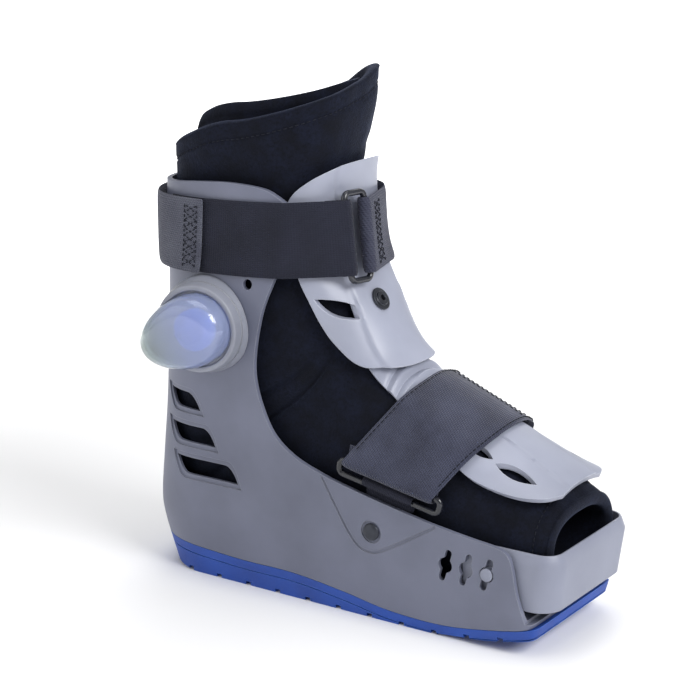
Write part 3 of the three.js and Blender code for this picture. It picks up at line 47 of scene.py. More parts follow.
# %% [markdown]
# ## Sizes and tables
# The boot's main sizes come first. Each table holds one section or one bend per row, as shares of the
# sole's length, the sole's width or the shell's height, and is turned into millimetres once.

# %% Sizes
LENGTH, WIDTH, HEIGHT = 288.0, 104.0, 257.0
FIT, SHELL_WALL, GUARD_WALL, LINER_WALL, FLAP_WALL, PLATE_WALL = 0.4, 3.0, 3.6, 8.0, 5.0, 2.8
STRAP, WIRE, FLOOR = 2.0, 4.0, 22.0


def table(names, rows, **scale):
    """Named columns of numbers, each multiplied by its scale: x by the length, z by the height."""
    columns = dict(zip(names.split(), np.array(rows, float).T))
    for name, by in scale.items():
        for key in columns:
            if key == name or key.endswith("_" + name):
                columns[key] = columns[key] * by
    return columns


SHELL = table("z back_x middle_x front_x half flare square nose", [
    (-0.02, -0.428, -0.315, 0.494, 0.364, 0.28, 2.5, 26), (0.05, -0.453, -0.313, 0.494, 0.395, 0.24, 2.4, 26),
    (0.11, -0.476, -0.312, 0.51, 0.416, 0.2, 2.3, 26), (0.17, -0.485, -0.31, 0.53, 0.429, 0.18, 2.3, 24),
    (0.29, -0.473, -0.307, 0.53, 0.441, 0.16, 2.3, 20), (0.43, -0.459, -0.293, 0.53, 0.456, 0.12, 2.3, 12),
    (0.58, -0.45, -0.258, 0.4, 0.494, 0.04, 2.3, 5), (0.73, -0.444, -0.2, 0.056, 0.526, 0, 2.4, 2.6),
    (0.84, -0.444, -0.227, 0.01, 0.494, 0, 2.5, 2.6), (0.94, -0.446, -0.236, -0.011, 0.479, 0, 2.5, 2.6),
    (1.04, -0.446, -0.242, -0.03, 0.468, 0, 2.5, 2.6)], x=LENGTH, z=HEIGHT, half=WIDTH)
FORM = table("front_x front_z back_x back_z half", [
    (0.522, 0.33, 0.527, 0.03, 0.93), (0.43, 0.4, 0.42, 0, 0.97), (0.33, 0.455, 0.306, 0, 0.985),
    (0.236, 0.502, 0.18, 0, 0.985), (0.165, 0.54, 0.049, 0, 0.955), (0.124, 0.572, -0.097, 0, 0.915),
    (0.1, 0.597, -0.236, 0.002, 0.9), (0.08, 0.626, -0.352, 0.012, 0.92),
    (0.0625, 0.658, -0.437, 0.075, 0.95),
    (0.0434, 0.693, -0.462, 0.225, 1), (0.0243, 0.728, -0.448, 0.42, 1.05), (0, 0.77, -0.44, 0.6, 1.09),
    (-0.021, 0.821, -0.44, 0.72, 1.055), (-0.0295, 0.872, -0.44, 0.785, 1.02),
    (-0.033, 0.945, -0.441, 0.865, 0.985), (-0.033, 1.02, -0.441, 0.945, 0.97),
    (-0.018, 1.12, -0.438, 1.0, 1.03), (0, 1.27, -0.434, 1.06, 1.1), (0.008, 1.42, -0.43, 1.13, 1.12)],
    x=LENGTH)
EDGE = table("x z", [
    (0.497, 0.08), (0.481, 0.145), (0.471, 0.205), (0.461, 0.236), (0.436, 0.252), (0.36, 0.262),
    (0.25, 0.28), (0.076, 0.319), (0, 0.341), (-0.062, 0.368), (-0.111, 0.412), (-0.139, 0.478),
    (-0.151, 0.548), (-0.145, 0.615), (-0.126, 0.7), (-0.102, 0.79), (-0.082, 0.875), (-0.072, 0.925),
    (-0.083, 0.955), (-0.108, 0.98), (-0.142, 0.997), (-0.215, 1.003), (-0.3, 0.996), (-0.4, 0.982),
    (-0.52, 0.97)], x=LENGTH, z=HEIGHT)
SOLE_LOW = table("x z", [(-0.52, 0.042), (-0.44, 0.014), (-0.36, 0.002), (-0.3, 0), (0.22, 0), (0.3, 0.004),
                         (0.4, 0.017), (0.52, 0.043)], x=LENGTH, z=HEIGHT)
SOLE_HIGH = table("x z", [(-0.52, 0.084), (-0.46, 0.08), (-0.38, 0.077), (-0.3, 0.071), (-0.2, 0.066),
                          (-0.07, 0.066), (0.06, 0.05), (0.17, 0.031), (0.3, 0.028), (0.42, 0.047),
                          (0.52, 0.07)], x=LENGTH, z=HEIGHT)
VEE = table("x z", [(0.012, 0.332), (0.085, 0.2), (0.128, 0.172), (0.175, 0.19), (0.292, 0.27)],
            x=LENGTH, z=HEIGHT)
SHIN_EDGE = table("x z", [
    (0.03, 1.058), (0, 1.052), (-0.031, 1.031), (-0.059, 1.008), (-0.083, 0.982), (-0.097, 0.945),
    (-0.094, 0.887), (-0.076, 0.833), (-0.059, 0.786), (-0.038, 0.743), (-0.016, 0.693), (0.007, 0.65),
    (0.042, 0.609), (0.075, 0.59), (0.11, 0.59)], x=LENGTH, z=HEIGHT)
DORSAL = table("x crest_z half edge_z", [
    (0.036, 0.7, 0.25, 0.66), (0.053, 0.67, 0.258, 0.63), (0.072, 0.64, 0.265, 0.59),
    (0.09, 0.61, 0.27, 0.56),
    (0.112, 0.59, 0.277, 0.54), (0.142, 0.573, 0.285, 0.512), (0.18, 0.559, 0.31, 0.482),
    (0.243, 0.53, 0.355, 0.437), (0.312, 0.497, 0.395, 0.402), (0.375, 0.464, 0.41, 0.378),
    (0.44, 0.427, 0.405, 0.365), (0.486, 0.399, 0.372, 0.362), (0.515, 0.381, 0.31, 0.363),
    (0.528, 0.372, 0.23, 0.364)], x=LENGTH, z=HEIGHT, half=WIDTH)
RIM = table("angle z", [
    (-180, 1.04), (-150, 1.055), (-120, 1.09), (-90, 1.135), (-50, 1.18), (-10, 1.215), (8, 1.237),
    (22, 1.25),
    (40, 1.25), (60, 1.225), (90, 1.145), (130, 1.06), (180, 1.04)], z=HEIGHT)
FLAP = table("angle z", [
    (-132, 1.07), (-126, 1.13), (-112, 1.16), (-90, 1.185), (-40, 1.215), (10, 1.23), (60, 1.21),
    (95, 1.15), (112, 1.07)], z=HEIGHT)

# %% [markdown]
# ## Reading the tables
# A smooth curve through the rows (Catmull-Rom) gives any place between them. Halving an interval again
# and again finds the place where a value is reached; numpy does it for a whole grid at once.

# %% Curves and halving


def smooth(rows, column, at):
    """Catmull-Rom curve through one column, at any place counted in rows."""
    values = rows[column]
    last = len(values) - 1
    at = np.asarray(at, float)
    i = np.clip(np.floor(at).astype(int), 0, last - 1)
    t = at - i
    a, b, c, d = (values[np.clip(i + k, 0, last)] for k in (-1, 0, 1, 2))
    return 0.5 * (2 * b + (c - a) * t + (2 * a - 5 * b + 4 * c - d) * t**2 + (3 * b - a - 3 * c + d) * t**3)


def reached(value, low, high, target, turns=22):
    """The place where a steady value passes its target: the interval is halved, for all targets at once."""
    target = np.asarray(target, float)
    a, b = np.full(target.shape, float(low)), np.full(target.shape, float(high))
    rising = value(b) > value(a)
    for _ in range(turns):
        middle = (a + b) / 2
        before = (value(middle) < target) == rising
        a, b = np.where(before, middle, a), np.where(before, b, middle)
    return (a + b) / 2


def lookup(rows, key, value, column):
    """One column of a table read by the value of another."""
    return smooth(rows, column, reached(lambda k: smooth(rows, key, k), 0, len(rows[key]) - 1, value))


def curve(rows, count):
    """The smooth side-view line through a table, as count points (x, z)."""
    at = np.linspace(0, len(rows["x"]) - 1, count)
    return np.stack([smooth(rows, "x", at), smooth(rows, "z", at)], -1)


def blend(low, high, value):
    """0 below low, 1 above high and a soft S between them: 3t^2 - 2t^3."""
    t = np.clip((value - low) / (high - low), 0, 1)
    return t * t * (3 - 2 * t)


def crease(distance, width):
    """A round groove or ridge: exp(-(distance / width)^2)."""
    return np.exp(-((distance / width) ** 2))


def unit(v):
    """Vectors of length one."""
    return v / np.maximum(np.linalg.norm(v, axis=-1, keepdims=True), 1e-12)


# %% [markdown]
# ## The two master surfaces
# The shell's section is a superellipse whose nose is nearly square. The liner follows "form" sections
# that fan round the heel, like the slices of a bent tube; the plates are offsets of the same form.

# %% Master surfaces


def shell_place(z):
    """Where in the shell's table a height lies."""
    return reached(lambda k: smooth(SHELL, "z", k), 0, len(SHELL["z"]) - 1, z)


def shell_point(place, angle, out):
    """Superellipse: x is reach times |cos|^(2/p), y is half width times |sin|^(2/p), grown by out."""
    r = {name: smooth(SHELL, name, place) for name in SHELL}
    c, s = np.cos(angle), np.sin(angle)
    power = 2 / np.where(c > 0, r["nose"], r["square"])
    reach = np.where(c > 0, r["front_x"] - r["middle_x"], r["middle_x"] - r["back_x"]) + out
    x = r["middle_x"] + np.sign(c) * reach * np.abs(c) ** power
    spread = 1 + r["flare"] * np.maximum(0, x - r["middle_x"]) / LENGTH
    y = np.sign(s) * (r["half"] * spread + out) * np.abs(s) ** power
    return np.stack(np.broadcast_arrays(x, y, r["z"]), -1)


def shell_side(x, z, out):
    """How far the wall stands from the middle plane at one place of the side view."""
    r = {name: smooth(SHELL, name, shell_place(z)) for name in SHELL}
    ahead = x > r["middle_x"]
    reach = np.where(ahead, r["front_x"] - r["middle_x"], r["middle_x"] - r["back_x"]) + out
    power = np.where(ahead, r["nose"], r["square"])
    spread = 1 + r["flare"] * np.maximum(0, x - r["middle_x"]) / LENGTH
    share = np.minimum(1, np.abs(x - r["middle_x"]) / reach)
    return (r["half"] * spread + out) * (1 - share**power) ** (1 / power)


RING_POINTS = 224


def shell_ring(place, out):
    """One section's outline, its points shared out by both length and bending so corners stay round."""
    t = np.linspace(0, 1, 1400)
    angle = np.concatenate([np.linspace(np.pi, np.pi / 2, 600), (np.pi / 2) * (1 - t[1:]) ** 3])
    half = shell_point(place, angle, out)
    step = np.diff(half, axis=0)
    length = np.linalg.norm(step, axis=1)
    way = unit(step)
    turn = np.arccos(np.clip((way[1:] * way[:-1]).sum(1), -1, 1))
    weight = np.concatenate([[0], np.cumsum(length / length.sum() + 0.25 * np.append(turn, 0))])
    pick = np.interp(np.linspace(0, weight[-1], RING_POINTS // 2 + 1), weight, np.arange(len(half)))
    one = np.stack([np.interp(pick, np.arange(len(half)), half[:, k]) for k in range(3)], -1)
    return np.concatenate([one, one[-2:0:-1] * (1, -1, 1)])


FOREFOOT_INSIDE = float(shell_side(0.36 * LENGTH, 0.2 * HEIGHT, 0))
FORM_HALF = FOREFOOT_INSIDE - GUARD_WALL - 3 * FIT
FORM_LAST = len(FORM["half"]) - 1


def form_point(at, angle, out):
    """A fan section's superellipse: angle 0 on the instep and shin, 180 degrees on sole and heel."""
    base = FLOOR + FIT
    front_x, back_x = smooth(FORM, "front_x", at), smooth(FORM, "back_x", at)
    front_z = HEIGHT * smooth(FORM, "front_z", at)
    back_z = base + (HEIGHT - base) * np.maximum(0, smooth(FORM, "back_z", at))
    reach_x, reach_z = (front_x - back_x) / 2, (front_z - back_z) / 2
    length = np.hypot(reach_x, reach_z)
    c, s = np.cos(angle), np.sin(angle)
    tall = np.sign(c) * np.abs(c) ** (2 / 2.6) * (length + out) / length
    wide = np.sign(s) * np.abs(s) ** (2 / 2.6) * (smooth(FORM, "half", at) * FORM_HALF + out)
    return np.stack(np.broadcast_arrays(
        (front_x + back_x) / 2 + reach_x * tall, wide, (front_z + back_z) / 2 + reach_z * tall), -1)


def at_height(z, angle, out):
    """The leg part of the form where it reaches a height."""
    return form_point(reached(lambda k: form_point(k, angle, out)[..., 2], 7, FORM_LAST, z), angle, out)


def form_height(x, y, out):
    """The form's height over a place of the top view: first the angle, inside it the section."""
    def on_x(angle):
        return form_point(reached(lambda k: form_point(k, angle, out)[..., 0], 0, 12, x, 16), angle, out)
    return on_x(reached(lambda a: on_x(a)[..., 1], 0, math.radians(88), np.abs(y), 16))[..., 2]


print("room for the liner each side of the middle:", round(FORM_HALF, 2), "mm")

# %% [markdown]
# ## Making and cutting meshes
# A grid of points becomes quads. Moulded pieces are cut as a tool would cut them: one closed body is
# taken from, added to or kept inside another, with the fast exact solver.

# %% Mesh helpers
SHARP = 38


def quads(rows, columns, around=False, over=False):
    """Quads between neighbouring points of a grid, joined round its ends where it closes."""
    i = np.arange(rows if over else rows - 1)[:, None]
    j = np.arange(columns if around else columns - 1)[None, :]
    i2, j2 = (i + 1) % rows, (j + 1) % columns
    corners = (i * columns + j, i * columns + j2, i2 * columns + j2, i2 * columns + j)
    return np.stack(np.broadcast_arrays(*corners), -1).reshape(-1, 4)


def body(name, points, faces, uv=None, sharp=SHARP):
    """A mesh object from points in millimetres, its faces turned outwards and its smooth parts shaded so."""
    mesh = bpy.data.meshes.new(name)
    mesh.from_pydata((np.asarray(points).reshape(-1, 3) * 0.001).tolist(), [], [list(f) for f in faces])
    if uv is not None:
        layer = mesh.uv_layers.new(name="UVMap")
        index = np.zeros(len(mesh.loops), int)
        mesh.loops.foreach_get("vertex_index", index)
        layer.data.foreach_set("uv", (np.asarray(uv).reshape(-1, 2)[index] * 0.001).ravel())
    tidy(mesh)
    shade(mesh, sharp)
    obj = bpy.data.objects.new(name, mesh)
    bpy.context.scene.collection.objects.link(obj)
    return obj


def tidy(mesh):
    """Merges doubles and turns every face outwards."""
    bm = bmesh.new()
    bm.from_mesh(mesh)
    bmesh.ops.remove_doubles(bm, verts=bm.verts, dist=1e-7)
    bmesh.ops.recalc_face_normals(bm, faces=bm.faces)
    bm.to_mesh(mesh)
    bm.free()


def shade(mesh, sharp):
    """Smooth shading, with edges that bend more than the given degrees kept sharp."""
    mesh.shade_smooth()
    mesh.set_sharp_from_angle(angle=math.radians(sharp))


def loft(name, rings):
    """A body through equal rings, closed by a flat face at both ends."""
    m, n = len(rings), len(rings[0])
    faces = quads(m, n, around=True).tolist()
    return body(name, rings, faces + [list(range(n)), list(range((m - 1) * n, m * n))])


def prism(name, outline, low=-WIDTH, high=WIDTH, top=False):
    """A flat outline pushed through the boot: seen from the side, or from above."""
    outline = np.asarray(outline)
    ends = [np.insert(outline, 2 if top else 1, v, axis=1) for v in (low, high)]
    return loft(name, np.array(ends))


def boxes(name, lows, highs):
    """Separate boxes in one body, from their lowest and highest corners."""
    square = np.array([[0, 0], [1, 0], [1, 1], [0, 1]])
    corner = np.concatenate([np.insert(square, 2, level, axis=1) for level in (0, 1)])
    side = np.array([[0, 3, 2, 1], [4, 5, 6, 7], [0, 1, 5, 4], [1, 2, 6, 5], [2, 3, 7, 6], [3, 0, 4, 7]])
    lows, highs = np.asarray(lows, float), np.asarray(highs, float)
    points = lows[:, None] + corner[None] * (highs - lows)[:, None]
    return body(name, points, (side[None] + 8 * np.arange(len(lows))[:, None, None]).reshape(-1, 4))


def joined(name, objects):
    """Several bodies that don't touch, as one tool."""
    bm = bmesh.new()
    for obj in objects:
        bm.from_mesh(obj.data)
        bpy.data.objects.remove(obj)
    mesh = bpy.data.meshes.new(name)
    bm.to_mesh(mesh)
    bm.free()
    tool = bpy.data.objects.new(name, mesh)
    bpy.context.scene.collection.objects.link(tool)
    return tool


def cut(target, tool, how="DIFFERENCE"):
    """Takes the tool from the target, or keeps or adds it, and drops the tool."""
    modifier = target.modifiers.new("cut", "BOOLEAN")
    modifier.operation, modifier.object, modifier.solver = how, tool, "MANIFOLD"
    bpy.context.view_layer.update()
    made = target.evaluated_get(bpy.context.evaluated_depsgraph_get())
    mesh = bpy.data.meshes.new_from_object(made)
    target.modifiers.clear()
    old = target.data
    target.data = mesh
    bpy.data.meshes.remove(old)
    bpy.data.objects.remove(tool)
    shade(mesh, SHARP)
    return target


def sheet(name, outer, inner, uv=None, sharp=SHARP):
    """A curved wall from two equal grids, closed round its border."""
    m, n = outer.shape[:2]
    face = quads(m, n)
    rim = np.concatenate([np.arange(n), (np.arange(1, m) * n + n - 1),
                          (m - 1) * n + np.arange(n - 2, -1, -1), np.arange(m - 2, 0, -1) * n])
    after = np.roll(rim, -1)
    border = np.stack([rim, after, after + m * n, rim + m * n], -1)
    faces = np.concatenate([face, face[:, ::-1] + m * n, border])
    if uv is not None:
        uv = np.concatenate([uv.reshape(-1, 2), uv.reshape(-1, 2)])
    return body(name, np.concatenate([outer.reshape(-1, 3), inner.reshape(-1, 3)]), faces, uv, sharp)


def grid_normals(grid):
    """Outward direction at each point, from the differences along both ways of the grid."""
    return unit(np.cross(np.gradient(grid, axis=0), np.gradient(grid, axis=1)))


def lathe(name, profile, origin, axis, count=64):
    """A profile of (radius, height) turned about an axis through the origin."""
    axis = unit(np.asarray(axis, float))
    u = unit(np.cross(axis, (0, 0, 1.0) if abs(axis[2]) < 0.9 else (1.0, 0, 0)))
    v = np.cross(axis, u)
    turn = np.linspace(0, 2 * np.pi, count, endpoint=False)
    r, h = np.asarray(profile, float).T
    ring = np.cos(turn)[:, None] * u + np.sin(turn)[:, None] * v
    points = np.asarray(origin) + r[:, None, None] * ring[None] + h[:, None, None] * axis
    closed = np.allclose(profile[0], profile[-1])
    if closed:
        return body(name, points[:-1], quads(len(r) - 1, count, around=True, over=True))
    return loft(name, points)


def arc(centre, radius, start, end, count=7):
    """Part of a circle in a profile, in degrees."""
    turn = np.radians(np.linspace(start, end, count))
    return [(centre[0] + radius * math.cos(t), centre[1] + radius * math.sin(t)) for t in turn]


BEND_POINTS = 9


def bend(start, control, end):
    """A quadratic bend: (1-t)^2 start + 2t(1-t) control + t^2 end."""
    t = np.linspace(0, 1, BEND_POINTS)[:, None]
    return (1 - t) ** 2 * np.array(start) + 2 * t * (1 - t) * np.array(control) + t**2 * np.array(end)


def leaf(x, y, length, width, turn):
    """A pointed leaf: two bends from tip to tip, turned about its middle."""
    tips = np.array([-length / 2, 0.0]), np.array([length / 2, 0.0])
    pts = np.concatenate([bend(tips[0], (0, width), tips[1])[:-1], bend(tips[1], (0, -width), tips[0])[:-1]])
    c, s = math.cos(math.radians(turn)), math.sin(math.radians(turn))
    return pts @ np.array([[c, s], [-s, c]]) + (x, y)


# %% [markdown]
# ## The moulded shell
# The real one is a single injection moulding. It is lofted once as a full body, trimmed to its side
# view, hollowed, and then vents, slots, rivet seats and the shallow vee are cut into it.

# %% Shell
SHELL_ROWS = 58


def shell_body(name, out, low=-0.02 * HEIGHT):
    """The shell's closed body, its wall moved out by a distance, from a height up to above the rim."""
    places = np.linspace(float(shell_place(np.array(low))), len(SHELL["z"]) - 1, SHELL_ROWS)
    return loft(name, np.array([shell_ring(p, out) for p in places]))


def vent(rear, front, high, low, grow):
    """A leaning leaf with two straight and two bent sides, grown by a margin."""
    rear, front = rear * LENGTH - grow, front * LENGTH + grow
    low, high = low * HEIGHT - grow, high * HEIGHT + grow
    lean = 0.035 * LENGTH
    return np.concatenate([bend((front - lean, high), (front - lean * 0.4, high), (front, low)),
                           bend((rear + lean, low), (rear + lean * 0.4, low), (rear, high))])


def round_slot(x, z):
    """A slot with round ends, leaning by its tilt."""
    t = np.linspace(0, np.pi, 9)
    end = np.stack([np.cos(t), np.sin(t)], -1) * SLOT_WIDTH / 2 + (0, (SLOT_LENGTH - SLOT_WIDTH) / 2)
    c, s = math.cos(SLOT_TILT), math.sin(SLOT_TILT)
    return np.concatenate([end, -end]) @ np.array([[c, -s], [s, c]]) + (x, z)


def circle(x, z, radius, count=32):
    """Points round a circle."""
    t = np.linspace(0, 2 * np.pi, count, endpoint=False)
    return np.stack([x + radius * np.cos(t), z + radius * np.sin(t)], -1)


RIVET = (0.135 * LENGTH, 0.222 * HEIGHT)
RIVET_SEAT, RIVET_BORE = 7.0, 3.0
STRAP_HOLE = (-0.16 * LENGTH, 0.772 * HEIGHT, 3.2)
SLOT_LENGTH, SLOT_WIDTH, SLOT_TILT, SLOT_PITCH, LOBE = 21.0, 4.4, math.radians(17.0), 14, 4.7
BROW, BROW_DEPTH = 3.0, 0.9
VEE_HALF, VEE_DEPTH = 0.9, 0.7
SLOTS = [(0.315 * LENGTH + SLOT_PITCH * k, 0.183 * HEIGHT) for k in range(3)]
VENTS = [(-0.4, -0.305, 0.473, 0.431), (-0.398, -0.268, 0.388, 0.345), (-0.38, -0.21, 0.305, 0.262)]
toe = 0.54 * LENGTH
edge = curve(EDGE, 130)
shell = shell_body("shell_moulding", SHELL_WALL)
cut(shell, prism("keep", [(-toe, -FLOOR), (toe, -FLOOR), (toe, edge[0, 1]), *edge]), "INTERSECT")
under = curve(SOLE_HIGH, 60) + (0, FIT)
cut(shell, prism("below", [(-toe, -WIDTH), (toe, -WIDTH), *under[::-1]]))
cut(shell, shell_body("cavity", 0, low=FLOOR))
centre = curve(VEE, 40)
side_step = unit(np.gradient(centre, axis=0))[:, ::-1] * (-1, 1) * VEE_HALF
reliefs = [prism("brow", vent(*v, BROW)) for v in VENTS] + [prism("seat", circle(*RIVET, RIVET_SEAT))]
relief = cut(joined("reliefs", reliefs), shell_body("deep", SHELL_WALL - BROW_DEPTH))
cut(shell, relief)
vee = prism("vee", np.concatenate([centre - side_step, (centre + side_step)[::-1]]))
cut(shell, cut(vee, shell_body("shallow", SHELL_WALL - VEE_DEPTH)))
through = [prism("vent", vent(*v, 0)) for v in VENTS] + [prism("slot", round_slot(*s)) for s in SLOTS]
through += [prism("bore", circle(*RIVET, RIVET_BORE, 20)), prism("hole", circle(*STRAP_HOLE))]
cut(shell, joined("through", through))
cut(shell, joined("lobes", [prism("lobe", circle(*s, LOBE)) for s in SLOTS]))
print("shell faces:", len(shell.data.polygons))

# %% [markdown]
# ## Rubber outsole
# The sole keeps the shell's outline, curls up at both ends and has cross treads below. Two outlines
# are lofted, and the side view of the rocker is kept.

# %% Outsole
OVERHANG, LINE_DROP, LINE_WIDTH = 0.6, 5.6, 0.8
TREAD_COUNT, TREAD_PITCH, TREAD_HALF, TREAD_DEPTH = 11, 23.0, 2, 2.4
rings = []
for z, out in ((-0.01 * HEIGHT, SHELL_WALL - OVERHANG), (0.13 * HEIGHT, SHELL_WALL + OVERHANG)):
    ring = shell_ring(float(shell_place(np.array(max(0.0, z)))), out)
    ring[:, 2] = z
    rings.append(ring)
outsole = loft("outsole_rubber", np.array(rings))
low = curve(SOLE_LOW, 60)
low[:, 1] = np.maximum(0, low[:, 1])
cut(outsole, prism("rocker", np.concatenate([low, curve(SOLE_HIGH, 60)[::-1]])), "INTERSECT")
tread_x = (np.arange(TREAD_COUNT) - 4.5) * TREAD_PITCH
tread_z = np.maximum(0, lookup(SOLE_LOW, "x", tread_x, "z"))
flat = np.full(TREAD_COUNT, WIDTH)
cut(outsole, boxes("treads", np.stack([tread_x - TREAD_HALF, -flat, tread_z - TREAD_DEPTH], -1),
                   np.stack([tread_x + TREAD_HALF, flat, tread_z + TREAD_DEPTH], -1)))
top_line = curve(SOLE_HIGH, 60) - (0, LINE_DROP)
line = np.concatenate([top_line, (top_line - (0, LINE_WIDTH))[::-1]])
groove_depth = loft("core", np.array([r * (0.985, 0.985, 1) for r in rings]))
cut(outsole, cut(prism("line", line), groove_depth))
print("treads:", len(tread_x))

# %% [markdown]
# ## Toe guard
# A bent wall that slides between the shell's sides. Its rim leans in a little, so the lip catches light.

# %% Toe guard
GUARD_FRONT = 0.5 * LENGTH + 18
GUARD_REAR = GUARD_FRONT - 62
GUARD_CORNER, GUARD_LOW, GUARD_FLARE = 14, 28.0, 3.5
LIP = [(0, 0, 56), (1.3, 0, 59.5), (2.2, 0, 62), (2.9, 0, 63)]
PEG = 4


def guard_ring(inset, flare, z):
    """A U with round corners whose legs follow the inside of the shell."""
    x = np.array([0.47 * LENGTH, GUARD_REAR - GUARD_CORNER])
    half, rear_half = shell_side(x, np.full(2, min(z, 0.22 * HEIGHT)), 0) - 2.5 * FIT - inset
    front, corner = GUARD_FRONT - inset + flare, GUARD_CORNER - inset
    t = np.linspace(np.pi / 2, 0, 17)
    turned = np.stack([front - corner + corner * np.cos(t), half - corner + corner * np.sin(t)], -1)
    one = np.concatenate([[(x[1], rear_half)], turned])
    both = np.concatenate([one, one[::-1] * (1, -1)])
    return np.insert(both, 2, z, axis=1)


wall = [guard_ring(0, -GUARD_FLARE, GUARD_LOW), *[guard_ring(*row) for row in LIP]]
guard = loft("toe_guard_moulding", np.array(wall))
room = [(GUARD_WALL, -3.6, GUARD_LOW - 1), (GUARD_WALL, 0, 56.0), (3.9, 0, 64.0)]
cut(guard, loft("room", np.array([guard_ring(*row) for row in room])))
cut(guard, boxes("rear", [(-LENGTH, -WIDTH, 0)], [(GUARD_REAR, WIDTH, HEIGHT)]))
peg = SLOTS[2]
reach = float(shell_side(peg[0], np.array(peg[1]), 0))
for sign in (-1, 1):
    ends = [(PEG, sign * (reach - 2.6)), (PEG, sign * (reach + 3.6)), (PEG - 0.8, sign * (reach + 4.2))]
    cut(guard, lathe("peg", ends, (peg[0], 0, peg[1]), (0, 1, 0), 28), "UNION")
print("guard faces:", len(guard.data.polygons))

# %% [markdown]
# ## Front plates
# Both plates are thin mouldings. Their raised panels are part of the surface itself: the outer grid is
# lifted with a soft S where the panel is, so its crease is round, as a mould leaves it.

# %% Dorsal plate
PANEL_RISE = 1.4
DORSAL_OUT = FIT + PLATE_WALL
across = np.linspace(-1, 1, 65)[None, :]
place = np.linspace(0, len(DORSAL["x"]) - 1, 100)[:, None]
dorsal_x = smooth(DORSAL, "x", place) + 0 * across
dorsal_y = across * smooth(DORSAL, "half", place)
crest_z, edge_z = smooth(DORSAL, "crest_z", place), smooth(DORSAL, "edge_z", place)
crown = crest_z + (edge_z - crest_z) * across**2
low_z = form_height(dorsal_x, dorsal_y, DORSAL_OUT + FIT)
dorsal_grid = np.stack([dorsal_x, dorsal_y, np.maximum(crown, low_z)], -1)
dorsal_out = -grid_normals(dorsal_grid)
dorsal_out = dorsal_out * np.sign(dorsal_out[50, 32, 2])
panel_half = 10.4 + 9.4 * (dorsal_x - 0.18 * LENGTH) / (0.52 * LENGTH)
lift = 1.4 * (1 - blend(-0.8, 0.8, np.abs(dorsal_y) - panel_half)) * blend(50, 53, dorsal_x)
bellows = sum(crease(dorsal_x - (0.122 + 0.024 * k) * LENGTH, 1.5) for k in range(3))
lift = lift - 1.6 * bellows + 0.8 * sum(
    crease(dorsal_x - (0.134 + 0.024 * k) * LENGTH, 1.6) for k in range(2))
dorsal_face = dorsal_grid + dorsal_out * lift[..., None]
dorsal = sheet("dorsal_plate_moulding", dorsal_face, dorsal_grid - dorsal_out * PLATE_WALL)
leaves = [(0.342, 0.28, 20, 6.5, 0), (0.43, 0.285, 27, 8, -4)]
tools = [prism("leaf", leaf(x * LENGTH, s * y * WIDTH, a, b, s * t), 50, 200, top=True)
         for x, y, a, b, t in leaves for s in (-1, 1)]
cut(dorsal, joined("leaves", tools))
print("dorsal plate length:", round(float(np.ptp(dorsal_x)), 1), "mm")

# %% [markdown]
# ## Shin plate
# The shin plate is a patch of the same form, lifted off the dorsal plate that it laps over. Its outline is
# cut from the side, and its leaf vents lie outside the raised panel.

# %% Shin plate
SHIN_IN = DORSAL_OUT + 4 * FIT


def shin_lift(angle):
    """The plate stands over the dorsal plate in the middle and lies on the liner at its wings."""
    share = blend(math.radians(34), math.radians(66), np.abs(angle))
    return SHIN_IN + (2 * FIT - SHIN_IN) * share


angle = np.radians(np.linspace(-104, 104, 141))[None, :]
place = np.linspace(4.2, 16.6, 150)[:, None]
inner = form_point(place, angle, shin_lift(angle))
outer = form_point(place, angle, shin_lift(angle) + PLATE_WALL)
panel = 26 - 5.2 * (outer[..., 2] - 128.5) / 180
raise_by = PANEL_RISE * (1 - blend(-0.9, 0.9, np.abs(outer[..., 1]) - panel))
outer = form_point(place, angle, shin_lift(angle) + PLATE_WALL + raise_by)
shin = sheet("shin_plate_moulding", outer, inner)
shin_edge = curve(SHIN_EDGE, 90)
far = 0.4 * LENGTH
cut(shin, prism("keep", [(far, shin_edge[0, 1]), *shin_edge, (far, shin_edge[-1, 1])]), "INTERSECT")
leaves = [(0.018, 0.72, 29, 8.5, -26), (-0.034, 0.83, 29, 8.5, -26)]
for x, z, a, b, t in leaves:
    wide = 26 - 5.2 * (z * HEIGHT - 128.5) / 180 + 1
    for low_y, high_y in ((-WIDTH, -wide), (wide, WIDTH)):
        cut(shin, prism("leaf", leaf(x * LENGTH, z * HEIGHT, a, b, t), low_y, high_y))
print("shin plate faces:", len(shin.data.polygons))

# %% [markdown]
# ## Rivets
# The eyelet on the shin goes through both plates; the side rivets are plain domes in shallow seats.
# All are profiles turned about their own axes.

# %% Rivets
seat = at_height(np.array(0.712 * HEIGHT), np.array(math.radians(-5)), 0)
below, above = (at_height(np.array(0.712 * HEIGHT + d), np.array(0.0), 0) for d in (-8, 8))
rivet_axis = unit(np.array([above[2] - below[2], 0, below[0] - above[0]]))
for target in (dorsal, shin):
    cut(target, lathe("bore", [(4.0, -60), (4.0, 60)], seat, rivet_axis, 32))
face = SHIN_IN + PLATE_WALL + PANEL_RISE + FIT
profile = [(2, DORSAL_OUT / 2), (3.6, DORSAL_OUT / 2), (3.6, face), (6.8, face),
           *arc((6.7, face + 0.5), 0.5, -70, 90), (4.7, face + 1.1), *arc((4.0, face + 2.0), 0.4, 0, 90),
           (2.7, face + 2.4), *arc((2.5, face + 1.9), 0.5, 90, 180), (2, DORSAL_OUT / 2)]
eyelet = lathe("shin_eyelet", profile, seat, rivet_axis, 48)
side_rivets = []
